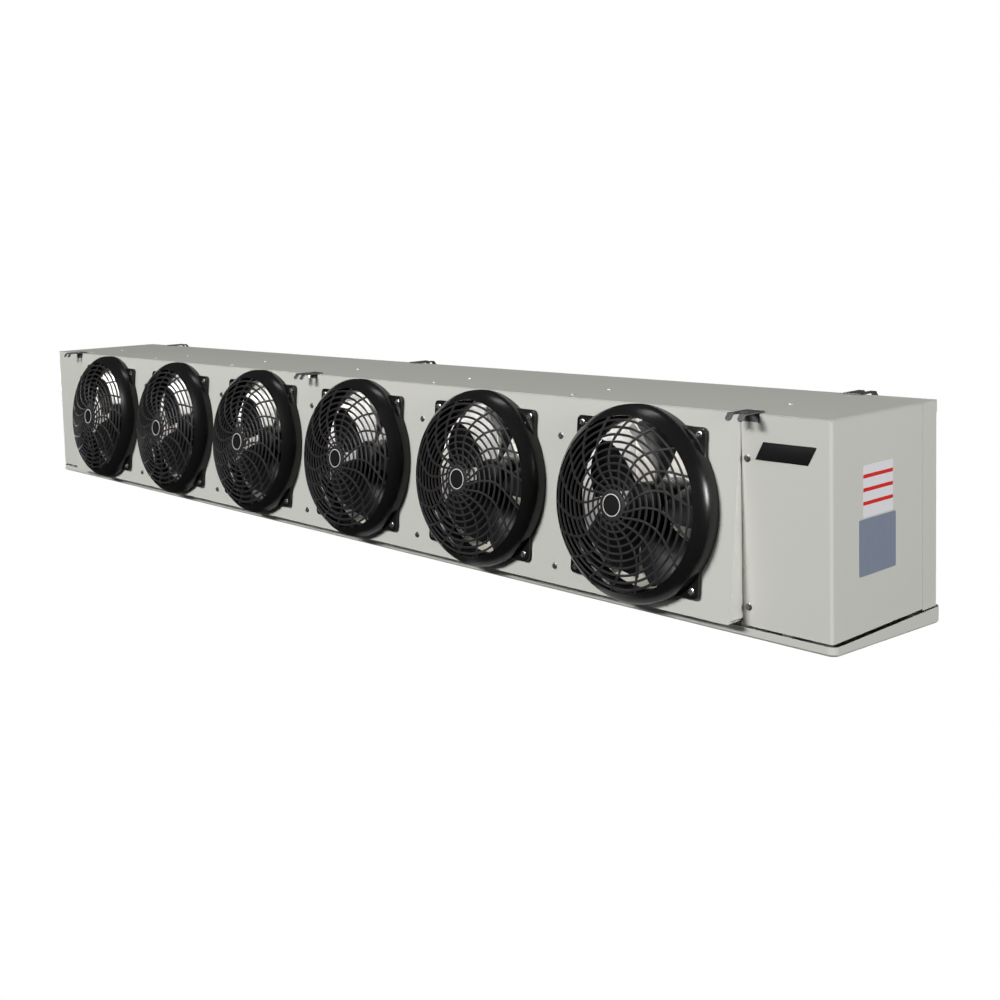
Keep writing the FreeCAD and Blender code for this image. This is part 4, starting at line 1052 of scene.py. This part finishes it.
class CoolerCoil(bpy.types.Operator):
    """Coil: stacked corrugated fins, the tubes through them and their return bends"""
    bl_idname = "cooler.coil"
    bl_label = "Finned coil"
    FIN_COLUMNS = 8
    FIN_THICKNESS = 0.00022
    FIN_WAVE = 0.0009
    END_GAP = 0.001
    TUBE_ROWS = 8
    TUBE_RADIUS = 0.00635
    TUBE_PITCH = 0.0381
    COLUMN_GAP = 0.044
    BEND_GAP = 0.0016
    BEND_LEG = 0.012
    BEND_STEPS = 12

    def execute(self, context):
        pitch = context.scene.cooler_sizes.fin_pitch
        low, high = (Vector(corner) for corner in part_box("coil_fin_blocks"))
        mesh = bmesh.new()
        skins = []
        for side in (0.0, self.FIN_THICKNESS):
            grid = []
            for column in range(self.FIN_COLUMNS + 1):
                x = low.x + self.END_GAP + self.FIN_WAVE * (column % 2) + side
                y = low.y + (high.y - low.y) * column / self.FIN_COLUMNS
                grid.append([mesh.verts.new((x, y, z)) for z in (low.z, high.z)])
            skins.append(grid)
        closed_skins(mesh, *skins)
        fins = settle(mesh, "coil_fins")
        count = int((high.x - low.x - 4 * self.END_GAP) / pitch)
        grown(fins, stack_tree(), fin_count=count, fin_pitch=pitch)
        fit_out(fins, "fin_aluminium", ("coil_fin_blocks",))
        self.add_tubes(low, high)
        return {"FINISHED"}

    def add_tubes(self, low, high):
        """Straight tubes and the U-bends on the bulkheads' outer faces."""
        lowest = (low.z + high.z) / 2 - self.TUBE_PITCH * (self.TUBE_ROWS - 1) / 2
        rows = [lowest + row * self.TUBE_PITCH for row in range(self.TUBE_ROWS)]
        near = (low.y + high.y - self.COLUMN_GAP) / 2
        far = near + self.COLUMN_GAP
        tubes = bmesh.new()
        for row in rows:
            for column in (near, far):
                ends = [Vector((low.x - self.END_GAP, column, row)),
                        Vector((high.x + self.END_GAP, column, row))]
                tube(tubes, ends, self.TUBE_RADIUS, 12)
        fit_out(smoothed(settle(tubes, "coil_tubes")), "drawn_copper")
        bends = bmesh.new()
        for row in rows[1:]:
            self.add_bend(bends, low.x, -1, (near, row), (far, row))
        for first, second in zip(rows[::2], rows[1::2]):
            for column in (near, far):
                self.add_bend(bends, high.x, 1, (column, first), (column, second))
        fit_out(smoothed(settle(bends, "coil_bends")), "drawn_copper",
                ("coil_return_bends",))

    def add_bend(self, mesh, end, side, start, finish):
        """U-bend between two tubes at one end of the coil."""
        face = end + side * self.BEND_GAP
        first, last = Vector((face, *start)), Vector((face, *finish))
        middle, half = (first + last) / 2, (last - first) / 2
        points = [first]
        for step in range(self.BEND_STEPS + 1):
            along, out = polar(1.0, 180 * step / self.BEND_STEPS)
            leg = side * (self.BEND_LEG + half.length * out)
            points.append(middle - half * along + Vector((leg, 0.0, 0.0)))
        tube(mesh, points + [last], self.TUBE_RADIUS, 14)


class CoolerPipes(bpy.types.Operator):
    """Suction header, liquid line and distributor in the left compartment"""
    bl_idname = "cooler.pipes"
    bl_label = "Pipes"

    def execute(self, context):
        for node in ("suction_header", "liquid_line", "distributor"):
            softened(node, *PIPE_EDGES)
        return {"FINISHED"}


class CoolerElectrics(bpy.types.Operator):
    """Terminal strip in the right end pocket"""
    bl_idname = "cooler.electrics"
    bl_label = "Terminal strip"

    def execute(self, context):
        softened("terminal_strip", *TERMINAL_EDGES)
        return {"FINISHED"}


class CoolerHangers(bpy.types.Operator):
    """Forked hanger plates with their edges broken"""
    bl_idname = "cooler.hangers"
    bl_label = "Hangers"

    def execute(self, context):
        for node in ("front_hangers", "rear_hangers"):
            softened(node, *HANGER_EDGES)
        return {"FINISHED"}


class CoolerPan(bpy.types.Operator):
    """Hinged drain pan with rounded folds"""
    bl_idname = "cooler.pan"
    bl_label = "Drain pan"

    def execute(self, context):
        softened("drain_pan", *PAN_EDGES)
        return {"FINISHED"}


class CoolerFasteners(bpy.types.Operator):
    """Screws and rivets of the cabinet and guards"""
    bl_idname = "cooler.fasteners"
    bl_label = "Screws and rivets"
    RIVET = ((0, 0), (3.7, 0), (3.6, 0.5), (3, 1.3), (1.9, 1.8), (1.3, 1.8), (1.1, 1.4), (0, 1.3))

    def execute(self, context):
        screw = self.screw_head(context.scene.cooler_sizes.screw_across)
        rivet = turned_piece("rivet_head", self.RIVET, 20)
        ears = []
        for number in range(FAN_COUNT):
            place = fan_place(number)
            out = place.to_3x3() @ Vector((0.0, 0.0, 1.0))
            for x in (-1, 1):
                for y in (-1, 1):
                    seat = Vector((x * EAR_PITCH / 2, y * EAR_PITCH / 2, EAR_THICKNESS)) * MM
                    ears.append((place @ seat, out))
        self.scatter("guard_screw_set", ears, screw, "guard_screws", 3, "bright_zinc")
        for node in ("panel_screws", "cover_screws"):
            self.scatter(node + "_set", self.seats_of(node), screw, node, 5, "dull_zinc")
        self.scatter("rivet_set", self.seats_of("top_rivets"), rivet, "top_rivets", 7,
                     "blind_rivet")
        for head in (screw, rivet):
            bpy.data.objects.remove(head)
        return {"FINISHED"}

    def scatter(self, name, seats, head, node, seed, finish):
        """Heads on seats of (place, facing)."""
        piece = line_piece(name, [place for place, facing in seats])
        facings = piece.data.attributes.new("facing", "FLOAT_VECTOR", "POINT")
        for index, (place, facing) in enumerate(seats):
            facings.data[index].vector = facing
        smoothed(grown(piece, fastener_tree(head, finish), seed=seed))
        fit_out(piece, finish, (node,))

    def seats_of(self, node):
        """Seats and facings of a node's heads, read from each head's own faces."""
        mesh = node_mesh(node)
        seats = []
        left = set(mesh.verts)
        while left:
            group = {left.pop()}
            edge = list(group)
            while edge:
                vert = edge.pop()
                for line in vert.link_edges:
                    other = line.other_vert(vert)
                    if other in left:
                        left.discard(other)
                        group.add(other)
                        edge.append(other)
            middle = sum((vert.co for vert in group), Vector()) / len(group)
            facing = self.facing_of(group)
            depth = max((vert.co - middle).dot(facing) for vert in group)
            seats.append((middle - facing * depth, facing))
        mesh.free()
        return seats

    def facing_of(self, group):
        """The way a hexagon head faces: its widest faces' normal, pointing off the cabinet."""
        areas = {}
        normals = {}
        for face in {face for vert in group for face in vert.link_faces}:
            key = tuple(round(abs(part), 2) for part in face.normal)
            areas[key] = areas.get(key, 0.0) + face.calc_area()
            normals[key] = face.normal.copy()
        normal = normals[max(areas, key=areas.get)]
        front = abs(normal.y) > abs(normal.z)
        outward = Vector((0.0, -1.0, 0.0)) if front else Vector((0.0, 0.0, 1.0))
        return normal if normal.dot(outward) > 0 else -normal

    def screw_head(self, across):
        """Hexagon head on its own washer, with a dished top."""
        mesh = bmesh.new()
        radius = across / math.sqrt(3) / MM
        lathe(mesh, ((0, 0), (radius * 1.35, 0), (radius * 1.38, 0.5), (radius * 1.1, 1.1),
                     (0, 1.1)), 24)
        lathe(mesh, ((0, 0.9), (radius, 0.9), (radius, 3.3), (radius * 0.86, 3.9),
                     (radius * 0.5, 3.9), (radius * 0.4, 3.4), (0, 3.3)), 6)
        return settle(mesh, "screw_head")


class CoolerPlates(bpy.types.Operator):
    """Bare cover badge, bare rating plate and plain banded notice on the right end"""
    bl_idname = "cooler.plates"
    bl_label = "Plates and notice"
    BADGE_SLANT = 0.016
    BADGE_THICKNESS = 0.0011
    BADGE_ROUNDING = 0.0003
    FILM_CORNER = 0.0035
    # Name, finish, front, rear, lower and upper edge from the cover's front foot, thickness
    FILMS = (
        ("rating_plate", "rating_film", 0.078, 0.191, 0.094, 0.188, 0.0006),
        ("notice_film", "notice_paper", 0.090, 0.183, 0.1905, 0.276, 0.0002),
        ("notice_band_1", "notice_band", 0.0905, 0.1825, 0.2548, 0.2610, 0.0003),
        ("notice_band_2", "notice_band", 0.0905, 0.1825, 0.2325, 0.2387, 0.0003),
        ("notice_band_3", "notice_band", 0.0905, 0.1825, 0.2103, 0.2165, 0.0003),
    )

    def execute(self, context):
        low, high = (Vector(corner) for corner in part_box("cover_badge"))
        slant = self.BADGE_SLANT
        mesh = bmesh.new()
        slab(mesh, [(low.x, low.z), (high.x - slant, low.z), (high.x, high.z),
                    (low.x + slant, high.z)], 0.0, self.BADGE_THICKNESS)
        stand = Matrix.Translation((0.0, high.y, 0.0)) @ spin(90, "X")
        badge = round_edges(settle(mesh, "cover_badge_plate", stand), self.BADGE_ROUNDING, 2)
        fit_out(smoothed(badge), "badge_black", ("cover_badge",))
        foot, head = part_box("right_end_cover")
        for film in self.FILMS:
            self.side_film(head[0], foot[1], foot[2], *film)
        return {"FINISHED"}

    def side_film(self, x, front, foot, name, finish, near, far, low, high, thickness):
        """Thin film on the right side, with round corners."""
        mesh = bmesh.new()
        corner = min(self.FILM_CORNER, (high - low) * 0.2)
        slab(mesh, rounded_rectangle(far - near, high - low, corner), 0.0, thickness)
        middle = (front + (near + far) / 2, foot + (low + high) / 2)
        turn = Matrix(((0, 0, 1, x), (1, 0, 0, middle[0]), (0, 1, 0, middle[1]), (0, 0, 0, 1)))
        fit_out(smoothed(settle(mesh, name, turn)), finish)


OPERATORS = (CoolerStage, CoolerCabinet, CoolerGuards, CoolerWheels, CoolerMotors, CoolerCoil,
             CoolerPipes, CoolerElectrics, CoolerHangers, CoolerPan, CoolerFasteners, CoolerPlates)


class CoolerPanel(bpy.types.Panel):
    """Lists the cooler's pieces with their sizes and colours"""
    bl_idname = "COOLER_PT_pieces"
    bl_label = "Unit Cooler"
    bl_space_type = "VIEW_3D"
    bl_region_type = "UI"
    bl_category = "Unit Cooler"

    def draw(self, context):
        for group in (context.scene.cooler_sizes, context.scene.cooler_colours):
            column = self.layout.column()
            for name in group.bl_rna.properties.keys():
                if name not in ("rna_type", "name"):
                    column.prop(group, name)
        for operator in OPERATORS:
            self.layout.operator(operator.bl_idname)


CLASSES = (CoolerSizes, CoolerColours) + OPERATORS + (CoolerPanel,)


def register():
    for cls in CLASSES:
        bpy.utils.register_class(cls)
    bpy.types.Scene.cooler_sizes = PointerProperty(type=CoolerSizes)
    bpy.types.Scene.cooler_colours = PointerProperty(type=CoolerColours)


def unregister():
    del bpy.types.Scene.cooler_colours
    del bpy.types.Scene.cooler_sizes
    for cls in reversed(CLASSES):
        bpy.utils.unregister_class(cls)


def main():
    register()
    for make in FINISH_MAKERS:
        make(bpy.context.scene.cooler_colours)
    for operator in OPERATORS:
        family, name = operator.bl_idname.split(".")
        getattr(getattr(bpy.ops, family), name)()


if __name__ == "__main__":
    main()
